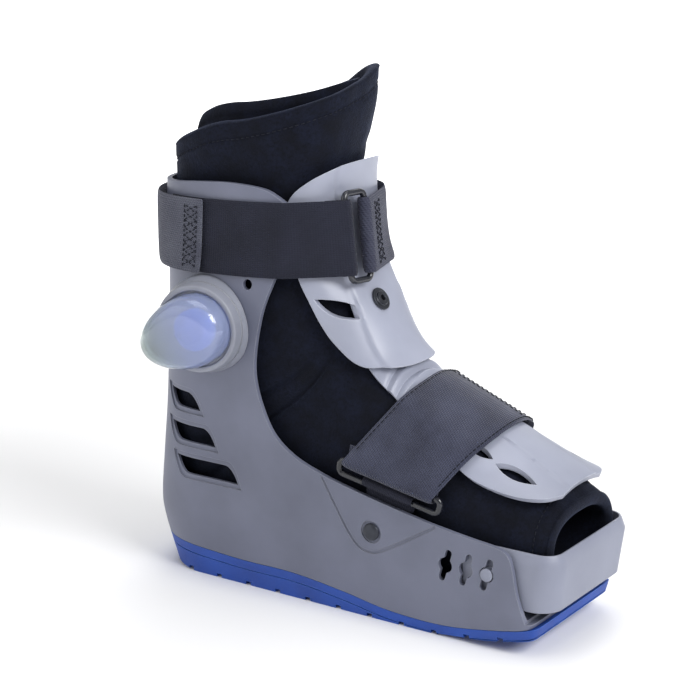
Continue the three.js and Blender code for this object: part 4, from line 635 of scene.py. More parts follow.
for name, sign in (("side_rivet_lateral_dome", -1), ("side_rivet_medial_dome", 1)):
    at = float(shell_side(RIVET[0], np.array(RIVET[1]), SHELL_WALL - 0.9)) + FIT
    dome = [(5.4 * math.cos(t), 0.5 + 1.8 * math.sin(t)) for t in np.linspace(0.05, np.pi / 2 - 0.06, 10)]
    profile = [(0.02, -SHELL_WALL), (2.6, -SHELL_WALL), (2.6, 0), (5.2, 0), *dome]
    side_rivets.append(lathe(name, profile, (RIVET[0], sign * at, RIVET[1]), (0, sign, 0), 40))
print("eyelet stands", round(float(face + 2.4), 1), "mm over the liner")

# %% [markdown]
# ## Taut straps
# A tight strap touches only what stands out, so its path is the convex hull of the sections under it.
# The hull is read by direction from the leg's middle, which gives a smooth run at any height.

# %% Leg strap paths
LEG_AXIS = -0.22 * LENGTH
RISE = math.tan(math.radians(2.2))
GAP = 0.9


def hull(points):
    """The convex outline round flat points: turns to the right are dropped, below and above."""
    order = points[np.lexsort((points[:, 1], points[:, 0]))].tolist()

    def chain(run):
        kept = []
        for p in run:
            while len(kept) > 1 and ((kept[-1][0] - kept[-2][0]) * (p[1] - kept[-2][1])
                                     - (kept[-1][1] - kept[-2][1]) * (p[0] - kept[-2][0])) <= 0:
                kept.pop()
            kept.append(p)
        return kept[:-1]
    return np.array(chain(order) + chain(order[::-1]))


def taut_radius(low, gap):
    """The hull round shell and shin plate at one level, as a radius for each direction."""
    angle = np.linspace(-np.pi, np.pi, 240, endpoint=False)
    p = np.zeros((240, 3))
    for _ in range(3):
        p = shell_point(shell_place(low + RISE * p[:, 0]), angle, SHELL_WALL + gap)
    wing = {key: EDGE[key][12:19] for key in EDGE}
    back = p[p[:, 0] < lookup(wing, "z", low + RISE * p[:, 0], "x") + gap]
    angle = angle[np.abs(angle) < math.radians(95)]
    front = np.zeros((len(angle), 3))
    for _ in range(3):
        front = at_height(low + RISE * front[:, 0], angle, shin_lift(angle) + PLATE_WALL + PANEL_RISE + gap)
    corners = hull(np.concatenate([back, front])[:, :2])
    corners = np.vstack([corners, corners[:1]])
    at = np.arange(len(corners))
    t = np.linspace(0, len(corners) - 1, 40 * len(corners))
    dense = np.stack([np.interp(t, at, corners[:, k]) for k in (0, 1)], -1) - (LEG_AXIS, 0)
    way, far = np.arctan2(dense[:, 1], dense[:, 0]), np.hypot(dense[:, 0], dense[:, 1])
    order = np.argsort(way)
    even = np.linspace(-np.pi, np.pi, 721)
    radius = np.interp(even, way[order], far[order], period=2 * np.pi)
    soft = np.exp(-(np.arange(-9, 10) / 4.0) ** 2)
    closed = np.concatenate([radius[-10:-1], radius, radius[1:10]])
    return even, np.convolve(closed, soft / soft.sum(), "valid")


LEVELS, LEG_WIDTH = 13, 45
LEG_LOW = 0.798 * HEIGHT + np.linspace(0, LEG_WIDTH, LEVELS)
RADII = [taut_radius(low, GAP) for low in LEG_LOW]


def leg_point(angle):
    """The taut surface at every level (rows) for the given directions (columns)."""
    r = np.array([np.interp(angle, even, radius, period=2 * np.pi) for even, radius in RADII])
    x = LEG_AXIS + r * np.cos(angle)
    return np.stack([x, r * np.sin(angle), LEG_LOW[:, None] + RISE * x], -1)


def leg_path(angle, lift):
    """The run of a strap: the taut surface moved out by lift, and its outward directions."""
    here, before, after = leg_point(angle), leg_point(angle - 0.06), leg_point(angle + 0.06)
    way = after - before
    normal = unit(np.stack([way[..., 1], -way[..., 0], 0 * way[..., 0]], -1))
    p = here + normal * np.asarray(lift)[..., None]
    p[..., 2] = LEG_LOW[:, None] + RISE * p[..., 0]
    return p, normal


def webbing(name, middle, normal):
    """A woven band with rounded selvedges: half thickness falls off as (1 - |v|^8)^(1/2) to the edges."""
    levels = len(middle)
    v = np.linspace(-1, 1, 29)
    pick = (v + 1) / 2 * (levels - 1)
    i = np.clip(pick.astype(int), 0, levels - 2)
    t = (pick - i)[:, None, None]
    p = middle[i] * (1 - t) + middle[i + 1] * t
    n = unit(normal[i] * (1 - t) + normal[i + 1] * t)
    half = STRAP / 2 * np.sqrt(np.clip(1 - np.abs(v) ** 8, 0.02, 1))[:, None, None]
    length = np.concatenate([[0], np.cumsum(np.linalg.norm(np.diff(p[14], axis=0), axis=1))])
    width = np.linalg.norm(p[-1] - p[0], axis=-1).mean()
    uv = np.stack(np.broadcast_arrays(length[None, :], (v[:, None] + 1) / 2 * width), -1)
    obj = sheet(name, p + n * half, p - n * half, uv, sharp=60)
    print(name, "length", round(float(length[-1])), "mm, width", round(float(width)), "mm")
    return obj, p, n, length


# %% [markdown]
# ## Rings and folds
# Each strap folds round a bar of a rectangular ring: a short tail beneath, a half turn, then the run.

# %% Rings
TAIL, LEG_OPENING, FOOT_OPENING = 9.0, 12, 5
LOOP = WIRE / 2 + FIT + STRAP / 2
BAR_LIFT = STRAP + GAP + WIRE / 2


def ring_frame(low, high, beside):
    """A ring's middle and its three directions: along its long bars, across them and outwards."""
    rise = unit(high - low)
    middle = (low + high) / 2
    rough = beside - middle
    across = unit(rough - rise * (rough @ rise))
    return middle, rise, across, unit(np.cross(across, rise)), float(np.linalg.norm(high - low))


def ring(name, place, opening):
    """Round wire along a rectangle with round corners, as a closed tube."""
    middle, rise, across, outward, length = place
    h, w, corner = length / 2 + WIRE / 2 + 4 * FIT, (opening + WIRE) / 2, WIRE * 0.9
    t = np.linspace(0, np.pi / 2, 9)
    corners = ((1, 1, 0), (1, -1, np.pi / 2), (-1, -1, np.pi), (-1, 1, 1.5 * np.pi))
    flat = np.concatenate([np.stack([a * (h - corner) + corner * np.sin(t0 + t),
                                     b * (w - corner) + corner * np.cos(t0 + t)], -1)
                           for a, b, t0 in corners])
    way = unit(np.roll(flat, -1, 0) - np.roll(flat, 1, 0))
    side = np.stack([-way[:, 1], way[:, 0]], -1)
    turn = np.linspace(0, 2 * np.pi, 20, endpoint=False)
    flat = flat[:, None] + side[:, None] * (WIRE / 2 * np.cos(turn))[None, :, None]
    points = middle + flat[..., :1] * rise + flat[..., 1:] * across
    points = points + (WIRE / 2 * np.sin(turn))[None, :, None] * outward
    return body(name, points, quads(len(points), 20, around=True, over=True))


def fold(bars, outward, away, past=24.0, lead=None):
    """Tail, half turn and a little more round each level's bar; the tail points along lead."""
    lead = away if lead is None else lead[:, None]
    bars = bars[:, None]
    tail_n = np.repeat(-outward[None], 8, 0)
    tail = bars - outward * LOOP + lead * (np.linspace(1, 0.1, 8) * TAIL)[None, :, None]
    t = np.radians(np.linspace(0, 180 + past, 40))[:, None]
    turned = -np.cos(t) * outward - np.sin(t) * away
    points = np.concatenate([tail, bars + turned[None] * LOOP], 1)
    normals = np.broadcast_to(np.concatenate([tail_n, turned])[None], points.shape)
    return points, normals


ANGLE, CLEAR = -16.0, 34
LIFT = BAR_LIFT + LOOP
sides = {t: leg_path(np.radians([ANGLE + t]), np.full((LEVELS, 1), LIFT))[0][:, 0] for t in (-7, 7)}
leg_place = ring_frame((sides[-7][0] + sides[7][0]) / 2, (sides[-7][-1] + sides[7][-1]) / 2,
                       (sides[7][0] + sides[7][-1]) / 2)
leg_ring = ring("leg_ring_wire", leg_place, LEG_OPENING)


def leg_strap(name, sign, start, end):
    """A strap from the ring's bar to its end on the back of the shell."""
    middle, rise, across, outward, length = leg_place
    shares = np.linspace(-0.5, 0.5, LEVELS)[:, None]
    bars = middle + rise * shares * length + across * sign * (LEG_OPENING + WIRE) / 2
    t = np.linspace(0, 1, 110)
    lift = np.broadcast_to(STRAP / 2 + np.maximum(0, 1 - t * 13 / 2) * STRAP, (LEVELS, 110))
    run_p, run_n = leg_path(np.radians(start + (end - start) * t), lift)
    loop_p, loop_n = fold(bars, outward, across * sign, lead=unit(run_p[:, 0] - bars))
    return webbing(name, np.concatenate([loop_p, run_p], 1), np.concatenate([loop_n, run_n], 1))


lateral, *_ = leg_strap("leg_strap_lateral_webbing", -1, ANGLE - CLEAR, -132)
medial, med_p, med_n, med_s = leg_strap("leg_strap_medial_webbing", 1, ANGLE + CLEAR, 132)
back_angle = np.radians(np.linspace(-105, -255, 120))
back_p, back_n = leg_path(back_angle, np.full((LEVELS, 120), GAP + 1.5 * STRAP + FIT))
back, web_p, web_n, web_s = webbing("leg_back_webbing", back_p, back_n)

# %% [markdown]
# ## Foot strap
# This strap leans forward as it rises, so each level lies in a leaning plane. It is taut over the dorsal
# plate, folds round the lateral ring's bar and runs down inside the medial wall to its rivet.

# %% Foot strap
LEAN = unit(np.array([0.72, 0, 1.0]))
PLANE = np.array([LEAN[2], 0, -LEAN[0]])
REAR, FRONT = np.array([0.066 * LENGTH, 0, 0.382 * HEIGHT]), np.array([0.282 * LENGTH, 0, 0.333 * HEIGHT])
SIDE = float(shell_side((REAR[0] + FRONT[0]) / 2, np.array(0.33 * HEIGHT), 0))


def against_wall(x, z):
    """The middle line of a strap that lies against the inside of the shell's wall."""
    return shell_side(x, np.minimum(z, 0.33 * HEIGHT), 0) - 1.5 * FIT - STRAP / 2


OVER_STEPS, WALL_STEPS = 110, 24


def foot_run(share):
    """One level: the hull of plate and liner in the leaning plane, walked by length from side to side."""
    bar = REAR + (FRONT - REAR) * share
    level, low = float(bar @ PLANE), float(bar @ LEAN)
    levels = dorsal_grid @ PLANE
    over = np.array([[np.interp(level, levels[:, j], dorsal_grid[:, j, k]) for k in range(3)]
                     for j in range(0, 65, 4)])
    points = [np.stack([over[:, 1] * 1.03, over @ LEAN + PANEL_RISE + 3 * FIT], -1)]
    angle = np.radians(np.array([30.0, 45, 60, 75, 90]))
    place = reached(lambda k: form_point(k, angle, 2 * FIT) @ PLANE, 0.3, 11, np.full(5, level))
    soft = form_point(place, angle, 2 * FIT)
    soft = soft[soft[:, 2] > bar[2]]
    points += [np.stack([s * soft[:, 1], soft @ LEAN], -1) for s in (-1, 1)]
    points.append([(-SIDE - LOOP + STRAP / 2, low), (float(against_wall(bar[0], bar[2])) - STRAP / 2, low)])
    rim = hull(np.concatenate(points))
    rim = rim[rim[:, 1] >= low - 1e-6]
    rim = rim[np.argsort(rim[:, 0])]
    length = np.concatenate([[0], np.cumsum(np.linalg.norm(np.diff(rim, axis=0), axis=1))])
    t = np.linspace(0, length[-1], OVER_STEPS)

    def at(s):
        s = np.clip(s, 0, length[-1])
        return np.stack([np.interp(s, length, rim[:, k]) for k in (0, 1)], -1)
    here, way = at(t), at(t + 0.03 * length[-1]) - at(t - 0.03 * length[-1])
    normal = unit(-way[:, 1:] * np.array([0, 1.0, 0]) + way[:, :1] * LEAN)
    p = here[:, :1] * np.array([0, 1.0, 0]) + here[:, 1:] * LEAN + PLANE * level
    return p + normal * STRAP / 2, normal


def wall_run(share, sign, top):
    """From a bar's height down inside the wall to the side rivet, narrowing on the way."""
    bar = REAR + (FRONT - REAR) * share
    t = np.linspace(1 / WALL_STEPS, 1, WALL_STEPS)
    x = bar[0] + (RIVET[0] + (bar[0] - RIVET[0]) * 0.45 - bar[0]) * t
    z = (bar[2] - top) + (0.2 * HEIGHT - (bar[2] - top)) * t
    return np.stack([x, sign * against_wall(x, z), z], -1), np.broadcast_to([0.0, sign, 0], (WALL_STEPS, 3))


shares = np.linspace(0, 1, LEVELS)
ends = [REAR + (FRONT - REAR) * s - (0, SIDE, 0) - (0, 0, (FOOT_OPENING + WIRE) / 2) for s in (0, 1)]
foot_place = ring_frame(ends[0], ends[1], (ends[0] + ends[1]) / 2 - (0, 0, 5.0))
foot_ring = ring("foot_ring_wire", foot_place, FOOT_OPENING)
bars = REAR + (FRONT - REAR) * shares[:, None] - (0, SIDE, 0)
loop_p, loop_n = fold(bars, np.array([0, -1.0, 0]), -foot_place[2], 0)
runs = [foot_run(s) for s in shares]
downs = [wall_run(s, 1, 0) for s in shares]
foot_p = np.concatenate([loop_p, np.array([r[0][1:] for r in runs]), np.array([d[0] for d in downs])], 1)
foot_n = np.concatenate([loop_n, np.array([r[1][1:] for r in runs]), np.array([d[1] for d in downs])], 1)
foot, foot_mid, foot_out, foot_s = webbing("foot_strap_webbing", foot_p, foot_n)
tab_p, tab_n = [], []
for share in 0.5 + (shares - 0.5) * 0.55:
    bar = REAR + (FRONT - REAR) * share - (0, SIDE, FOOT_OPENING + WIRE)
    down, down_n = wall_run(share, -1, FOOT_OPENING + 2 * WIRE)
    t = np.linspace(0, np.pi, 30)[:, None]
    turned = np.cos(t) * (0, 1.0, 0) + np.sin(t) * (0, 0, 1.0)
    tab_p.append(np.concatenate([down[::-1], bar + turned * LOOP]))
    tab_n.append(np.concatenate([-down_n[::-1], turned]))
anchor, *_ = webbing("foot_anchor_webbing", np.array(tab_p), np.array(tab_n))

# %% [markdown]
# ## The padded liner
# Foam between two layers of brushed cloth. One closed grid runs up the outside, over a round rim and
# down the inside. Its rolled hems, the fold at the ankle and the soft unevenness are moves of the grid.

# %% Liner
HEM = 9


def waves(p, size, seed):
    """Soft unevenness between -1 and 1: sines of the place in three slanted directions, size in mm."""
    rng = np.random.default_rng(seed)
    total = 0
    for _ in range(6):
        way = unit(rng.normal(size=3)) * 2 * np.pi / size * rng.uniform(0.6, 1.5)
        total = total + np.sin(p @ way + rng.uniform(0, 6.28))
    return total / 4


around = np.linspace(-np.pi, np.pi, 180, endpoint=False)
rim_z = lookup(RIM, "angle", np.degrees(around), "z")
rim_at = reached(lambda k: form_point(k, around, 0)[..., 2], 14, FORM_LAST, rim_z)
share = np.linspace(0, 1, 230)[:, None]
at = share * rim_at
flat_grid = form_point(at, around, 0)
step = np.linalg.norm(np.diff(flat_grid, axis=0), axis=-1)
from_toe = np.vstack([np.zeros(180), np.cumsum(step, 0)])
from_rim = from_toe[-1:] - from_toe
puff = -1.1 * (crease(from_rim - HEM, 1.3) + crease(from_toe - HEM, 1.3))
fold_line = 8.1 + 0.35 * np.cos(around * 2) + 0.12 * np.sin(around * 7)
side = np.abs(around)
puff -= 4.0 * crease(at - fold_line, 0.16) * blend(0.5, 1.2, side) * (side < 2.6)
puff -= 2.8 * crease(at - fold_line - 0.75, 0.12) * blend(0.7, 1.4, side) * (side < 2.2)
puff += 0.8 * waves(flat_grid, 60, 3) + 0.35 * waves(flat_grid, 20, 4) - 0.5
free = np.maximum(blend(HEIGHT * 1.0, HEIGHT * 1.06, flat_grid[..., 2]), 0)
puff += 1.6 * free * crease(from_rim - 22, 16) - 0.9 * free * crease(from_rim - 46, 5)
room = np.maximum(free * 3, blend(8, 30, flat_grid[..., 2] - FLOOR) * 0.25)
outer = form_point(at, around, np.minimum(puff, room))
turn = np.linspace(0, np.pi, 12)[1:-1, None]
hem = LINER_WALL / 2
top_at = np.broadcast_to(rim_at, (10, 180))
swell = (hem * np.sin(turn))[..., None]
top_edge = form_point(top_at, around, -hem + hem * np.cos(turn)) + swell * (0, 0, 0.7)
toe_edge = form_point(0 * top_at, around, -hem - hem * np.cos(turn)) + swell * (0.6, 0, 0)
inside = np.linspace(1, 0, 90)[:, None] * rim_at
inner = form_point(inside, around, -LINER_WALL + 0.5 * waves(form_point(inside, around, 0), 30, 5))
grid = np.concatenate([outer, top_edge, inner, toe_edge])
liner = body("liner_padding", grid, quads(len(grid), 180, around=True, over=True), sharp=80)
print("liner grid:", grid.shape[:2])

# %% [markdown]
# ## Inner flap
# The liner wraps round and laps inside its own collar. That inner end is a thinner pad. Its wall shrinks to
# a round edge at the top and at both sides, and a groove under the top edge shows the hem.

# %% Inner flap
span = np.radians(np.linspace(-132, 112, 150))[None, :]
high = lookup(FLAP, "angle", np.degrees(span), "z")
low_z = (1.07 - 0.17) * HEIGHT
rise = np.linspace(0, 1, 60)[:, None]
z = low_z + (high - low_z) * rise
to_side = np.minimum(span - span[0, 0], span[0, -1] - span)
edge_fall = (1 - rise**14) * np.minimum(blend(0, 0.06, to_side) + 0.25, 1)
half = FLAP_WALL / 2 * np.sqrt(np.clip(edge_fall, 0.06, 1))
base = -LINER_WALL - 5 * FIT - FLAP_WALL / 2
groove = 0.7 * crease(high - z - 8, 1.3)
flap = sheet("liner_inner_flap_padding", at_height(z, span, base + half - groove),
             at_height(z, span, base - half + groove), sharp=70)
print("flap spans", round(math.degrees(float(span[0, -1] - span[0, 0]))), "degrees")

# %% [markdown]
# ## Air pump
# A turned bezel on the shell's side holds a soft dome shaped like an egg. The dome is one closed wall,
# clear enough to show the blue button inside.

# %% Pump
YAW, TILT, PUMP_PROUD = math.radians(9), math.radians(24), 15
BULB_HEIGHT, BULB_WALL = 17, 1.6
PUMP_OUT = np.array([math.sin(YAW), -math.cos(YAW), 0])
PUMP_SIDE = np.array([math.cos(YAW), math.sin(YAW), 0])
PUMP_X, PUMP_Z = -0.262 * LENGTH, 0.664 * HEIGHT
PUMP_WALL = float(shell_side(PUMP_X, np.array(PUMP_Z), SHELL_WALL))
PUMP_FACE = np.array([PUMP_X, -PUMP_WALL, PUMP_Z]) + PUMP_OUT * PUMP_PROUD


EGG_POINTS = 96


def egg(share, height, grow):
    """Egg outlines on the pump's face: an ellipse, wider at one end, turned by its tilt."""
    turn = np.linspace(0, 2 * np.pi, EGG_POINTS, endpoint=False)
    c, s = np.cos(turn), np.sin(turn)
    share, height = np.asarray(share)[:, None], np.asarray(height)[:, None]
    a = (30 + grow) * share * c - 7
    b = (22 + grow) * share * s * (1 + 0.14 * c)
    ct, st = math.cos(TILT), math.sin(TILT)
    flat = (a * ct - b * st)[..., None] * PUMP_SIDE + (a * st + b * ct)[..., None] * np.array([0, 0, 1.0])
    return PUMP_FACE + flat + height[..., None] * PUMP_OUT


profile = [(0.02, -31), (30, -31), (30, -12), (29.6, -9.5), *arc((26.2, -5.5), 2.2, 60, 10, 4),
           *arc((25.6, 1.0), 1.4, 0, 90), (24.8, 2.4), *arc((24.4, 1.6), 0.8, 90, 180), (23, 0), (0.02, 0)]
housing = lathe("pump_bezel", profile, PUMP_FACE, PUMP_OUT, 96)
cut(housing, loft("tray", egg([1, 1, 0.99], [-3, -0.4, 0.4], 1.2)), "UNION")
cut(housing, loft("recess", egg([1, 1], [0, BULB_HEIGHT], FIT)))
cut(housing, shell_body("wall", SHELL_WALL + FIT))
t = np.linspace(0, 1, 44)
phi = np.pi / 2 * (1 - (1 - t) ** 3)
tall, wide = np.sin(phi) ** (2 / 2.6), np.maximum(np.cos(phi), 1e-9) ** (2 / 6)
outer = egg(wide, FIT + (BULB_HEIGHT - FIT) * tall, 0)
inner = egg(wide, FIT + (BULB_HEIGHT - BULB_WALL - FIT) * tall, -BULB_WALL)
dome = np.concatenate([outer[::-1], inner])
bulb = body("pump_dome", dome, quads(len(dome), 96, around=True), sharp=60)
button_profile = [(0.02, FIT), (13, FIT), *arc((11.4, 4.4), 1.6, 0, 50, 5), *arc((6, 2.6), 5.4, 40, 85, 6),
                  (0.02, 8)]
button = lathe("pump_button_cap", button_profile, PUMP_FACE, PUMP_OUT, 64)
print("pump face at", np.round(PUMP_FACE, 1))

# %% [markdown]
# ## Thread
# Every seam is real stitches: one small bent tube, copied along a line by whole-array arithmetic.

# %% Stitches


def stitches(name, starts, stops, normals, radius=0.32, rise=0.45):
    """One thread per pair of ends: a tube whose middle stands out by rise, as 1 - (2t-1)^4."""
    t = np.linspace(0, 1, 7)
    turn = np.linspace(0, 2 * np.pi, 6, endpoint=False)
    way = unit(stops - starts)
    side = unit(np.cross(way, normals))
    up = (1 - (2 * t - 1) ** 4) * (rise + radius) - radius
    path = starts[:, None] + (stops - starts)[:, None] * t[None, :, None]
    path = path + normals[:, None] * up[None, :, None]
    ring = side[:, None] * np.cos(turn)[None, :, None] + normals[:, None] * np.sin(turn)[None, :, None]
    fat = radius * np.sqrt(np.clip(1 - (2 * t - 1) ** 6, 0.1, 1))
    points = path[:, :, None] + ring[:, None] * fat[None, :, None, None]
    one = quads(7, 6, around=True).tolist()
    one += [[5, 4, 3, 2, 1, 0], [36, 37, 38, 39, 40, 41]]
    faces = [[v + 42 * k for v in f] for k in range(len(starts)) for f in one]
    return body(name, points, faces, sharp=70)


def on_band(p, n, s, along, over, out):
    """Points on a band's outer face from their distance along it and their share of its width."""
    row = np.asarray(over) * (len(p) - 1)
    i = np.clip(row.astype(int), 0, len(p) - 2)
    f = (row - i)[:, None]
    place = np.interp(along, s, np.arange(len(s)))
    j = np.clip(place.astype(int), 0, len(s) - 2)
    g = (place - j)[:, None]

    def read(a):
        before, after = (a[i, k] * (1 - f) + a[i + 1, k] * f for k in (j, j + 1))
        return before * (1 - g) + after * g
    normal = unit(read(n))
    return read(p) + normal * out, normal


THREAD_SHARE, LINER_PITCH = 0.72, 3.6


def seam(name, band, line, pitch=3.0):
    """Even stitches along a broken line drawn on a band in millimetres: (distance along, across)."""
    p, n, s = band
    width = float(np.linalg.norm(p[-1] - p[0], axis=-1).mean())
    line = np.asarray(line, float)
    length = np.concatenate([[0], np.cumsum(np.linalg.norm(np.diff(line, axis=0), axis=1))])
    count = max(2, int(length[-1] / pitch))
    first = np.arange(count) * length[-1] / count
    ends = []
    for shift in (0, THREAD_SHARE * length[-1] / count):
        along, over = (np.interp(first + shift, length, line[:, k]) for k in (0, 1))
        ends.append(on_band(p, n, s, along, over / width, STRAP / 2))
    return stitches(name, ends[0][0], ends[1][0], ends[0][1])


def ladder(start, end, low, high, turns):
    """A zigzag between two lines, the cross stitching of a box seam."""
    over = np.linspace(low, high, turns + 1)
    return np.stack([np.where(np.arange(turns + 1) % 2 == 0, start, end), over], -1)


threads = []
web, med, foot_band = (web_p, web_n, web_s), (med_p, med_n, med_s), (foot_mid, foot_out, foot_s)
for tag, at_s in (("lateral", (3.0, 13.0)), ("medial", (web_s[-1] - 13, web_s[-1] - 3))):
    for k, a in enumerate(at_s):
        threads.append(seam(f"thread_back_{tag}_{k}", web, [(a, 3), (a, 42)]))
    threads.append(seam(f"thread_back_{tag}_cross", web, ladder(*at_s, 4, 41, 8)))
    threads.append(seam(f"thread_back_{tag}_cross2", web, ladder(*at_s[::-1], 4, 41, 8)))
start = 9 + LOOP * 3.5
for k, a in enumerate((start + 8, start + 19)):
    threads.append(seam(f"thread_medial_{k}", med, [(a, 3), (a, 42)]))
threads.append(seam("thread_medial_cross", med, ladder(start + 8, start + 19, 4, 41, 8)))
threads.append(seam("thread_medial_cross2", med, ladder(start + 19, start + 8, 4, 41, 8)))
foot_width = float(np.linalg.norm(foot_mid[-1] - foot_mid[0], axis=-1).mean())
for k, v in enumerate((2.2, foot_width - 2.2)):
    threads.append(seam(f"thread_foot_{k}", foot_band, [(30, v), (foot_s[-1] - 50, v)], 3.4))
crest = foot_s[-1] * 0.52
for k, a in enumerate((crest, crest + 9)):
    threads.append(seam(f"thread_foot_strip_{k}", foot_band, [(a, 3), (a, foot_width - 3)], 3.4))


def liner_seam(name, distance, from_top):
    """Stitches round the liner at one distance from a rim, a hair above the hem's groove."""
    rows = np.array([np.interp(distance, (from_rim[::-1] if from_top else from_toe)[:, j],
                               np.arange(230)) for j in range(180)])
    rows = 229 - rows if from_top else rows
    i = np.clip(rows.astype(int), 0, 228)
    f = (rows - i)[:, None]
    j = np.arange(180)
    p = outer_grid[i, j] * (1 - f) + outer_grid[i + 1, j] * f
    n = outer_n[i, j]
    p, n = np.vstack([p, p[:1]]), np.vstack([n, n[:1]])
    s = np.concatenate([[0], np.cumsum(np.linalg.norm(np.diff(p, axis=0), axis=1))])
    first = np.arange(0, s[-1] - LINER_PITCH, LINER_PITCH)

    def read(at_s, a):
        return np.stack([np.interp(at_s, s, a[:, k]) for k in range(3)], -1)
    return stitches(name, read(first, p), read(first + LINER_PITCH * 0.7, p), unit(read(first, n)), 0.3, 0.5)


outer_grid = grid[:230]
outer_n = grid_normals(outer_grid)
outer_n = outer_n * np.sign((outer_n[200, 90] * (outer_grid[200, 90] - outer_grid[200].mean(0))).sum())
threads.append(liner_seam("thread_collar", HEM, True))
threads.append(liner_seam("thread_toe", HEM, False))
print("threads:", len(threads))

# %% [markdown]
# ## Finishes
# One function adds a node with its settings and links. Colours are written as screen hex values and
# turned to linear light. Each finish is named for what the real piece is made of.

# %% Node helpers


def hexcolour(text):
    """A screen colour as linear light: the sRGB curve undone for each channel."""
    c = np.array([int(text[k:k + 2], 16) for k in (0, 2, 4)]) / 255
    return tuple(np.where(c <= 0.04045, c / 12.92, ((c + 0.055) / 1.055) ** 2.4)) + (1.0,)


def add(tree, kind, inputs=None, **settings):
    """One shader node: its settings, then a value or a link for each named input."""
    made = tree.nodes.new("ShaderNode" + kind)
    for name, value in settings.items():
        setattr(made, name, value)
    for name, value in (inputs or {}).items():
        if isinstance(value, bpy.types.NodeSocket):
            tree.links.new(value, made.inputs[name])
        else:
            made.inputs[name].default_value = value
    return made


def ramp(tree, fac, low, high, a=0.35, b=0.65):
    """Maps a grey value to a colour between two, the change lying between a and b."""
    share = add(tree, "MapRange", {"Value": fac, "From Min": a, "From Max": b}).outputs[0]
    mix = add(tree, "Mix", {0: share}, data_type="RGBA")
    for k, colour in ((6, low), (7, high)):
        if isinstance(colour, bpy.types.NodeSocket):
            tree.links.new(colour, mix.inputs[k])
        else:
            mix.inputs[k].default_value = colour
    return mix.outputs[2]


def finish(name, dark, light, patch_mm, rough, shader=None, edge=None, bevel_mm=0.6, grain_mm=0.5, grain=0.1):
    """A material: two close colours in soft patches, a painted highlight on rounded edges, and a fine grain.
    """
    mat = bpy.data.materials.new(name)
    mat.use_nodes = True
    tree = mat.node_tree
    tree.nodes.clear()
    place = add(tree, "TexCoord").outputs["Object"]
    patch = add(tree, "TexNoise", {"Vector": place, "Scale": 1000 / patch_mm, "Detail": 4.0}).outputs[0]
    colour = ramp(tree, patch, hexcolour(dark), hexcolour(light))
    round_edge = add(tree, "Bevel", {"Radius": bevel_mm * 0.001}, samples=4).outputs[0]
    # Painted highlight: the colour turns to the lighter edge colour where the rounded normal leaves the flat
    # one.
    if edge:
        flat = add(tree, "NewGeometry").outputs["Normal"]
        dot = add(tree, "VectorMath", {0: round_edge, 1: flat}, operation="DOT_PRODUCT").outputs["Value"]
        colour = ramp(tree, dot, hexcolour(edge), colour, 0.75, 0.99)
    fine = add(tree, "TexNoise", {"Vector": place, "Scale": 1000 / grain_mm, "Detail": 3.0}).outputs[0]
    bump = add(tree, "Bump", {"Height": fine, "Strength": grain, "Distance": 0.0004, "Normal": round_edge})
    wear = add(tree, "MapRange", {"Value": patch, "To Min": rough - 0.05, "To Max": rough + 0.07}).outputs[0]
    bsdf = add(tree, "BsdfPrincipled", {"Base Color": colour, "Roughness": wear, "Normal": bump.outputs[0]})
    for key, value in (shader or {}).items():
        bsdf.inputs[key].default_value = value
    add(tree, "OutputMaterial", {"Surface": bsdf.outputs[0]})
    return mat


def opened(mat):
    """A finish's node tree, its surface shader and its grain, to add more to."""
    return mat.node_tree, mat.node_tree.nodes["Principled BSDF"], mat.node_tree.nodes["Bump"]


# %% [markdown]
# Moulded ABS has a fine spark-eroded grain, about half a millimetre across. The plates are the same plastic,
# paler and a little glossier. The edge colour of each finish is a painted highlight on its rounded edges.

# %% Plastics, rubber and metal
ABS = {"IOR": 1.53}
# ABS from a grained mould is matt, and the grain breaks up its highlights.
abs_grey = finish("ABS_moulded_grained", "5e6274", "6c7083", 60, 0.45, ABS, "9194a0", 0.8, 0.7, 0.22)
# The plates come from a smoother mould, so they shine softly and evenly.
abs_pale = finish("ABS_plate_satin", "8c90a0", "989cad", 60, 0.38, ABS, "c2c6d4", 0.8, 0.6, 0.12)
# The guard has the shell's grain in a paler grey.
abs_guard = finish("ABS_guard_grained", "7b7f90", "868a9b", 60, 0.43, ABS, "9c9faa", 0.9, 0.7, 0.2)
# Coloured rubber is deep in colour and nearly without shine; a brighter blue is painted on its edges as a
# highlight.
rubber = finish("rubber_blue_moulded", "123e94", "1b4cab", 40, 0.55, {"IOR": 1.52}, "4477d6", 0.7, 0.9, 0.25)
# Acetal is slippery and glossy: the rings show sharp, narrow highlights, and a painted highlight lies on
# their edges.
acetal = finish("acetal_ring_glossy", "1a1c23", "25272f", 20, 0.2, {"IOR": 1.48, "Coat Weight": 0.3},
                "777a84", 0.4, 0.6, 0.05)
# Painted steel shines darkly, and a lighter grey is painted on its edges as a highlight.
enamel = finish("steel_painted_dark", "2e3037", "3d4048", 12, 0.32, {"Metallic": 0.6},
                "8b8e98", 0.4, 0.5, 0.06)
# The bezel is satin ABS, and a broad bright line is painted on its round rim as a highlight.
bezel = finish("ABS_bezel_satin", "7f828e", "8c8f9b", 40, 0.38, ABS, "c0c3cd", 0.8, 0.6, 0.12)
# The button is blue ABS, bright enough to show through the dome.
cap = finish("ABS_button_blue", "6a90e6", "80a4f2", 14, 0.4, ABS, "7aa0ee", 0.6, 0.6, 0.1)
# Polyester thread is matt and dark, so it reads by its relief.
thread = finish("polyester_thread_dark", "15171f", "20222c", 4, 0.75, {"Specular IOR Level": 0.2},
                None, 0.1, 0.3, 0.2)
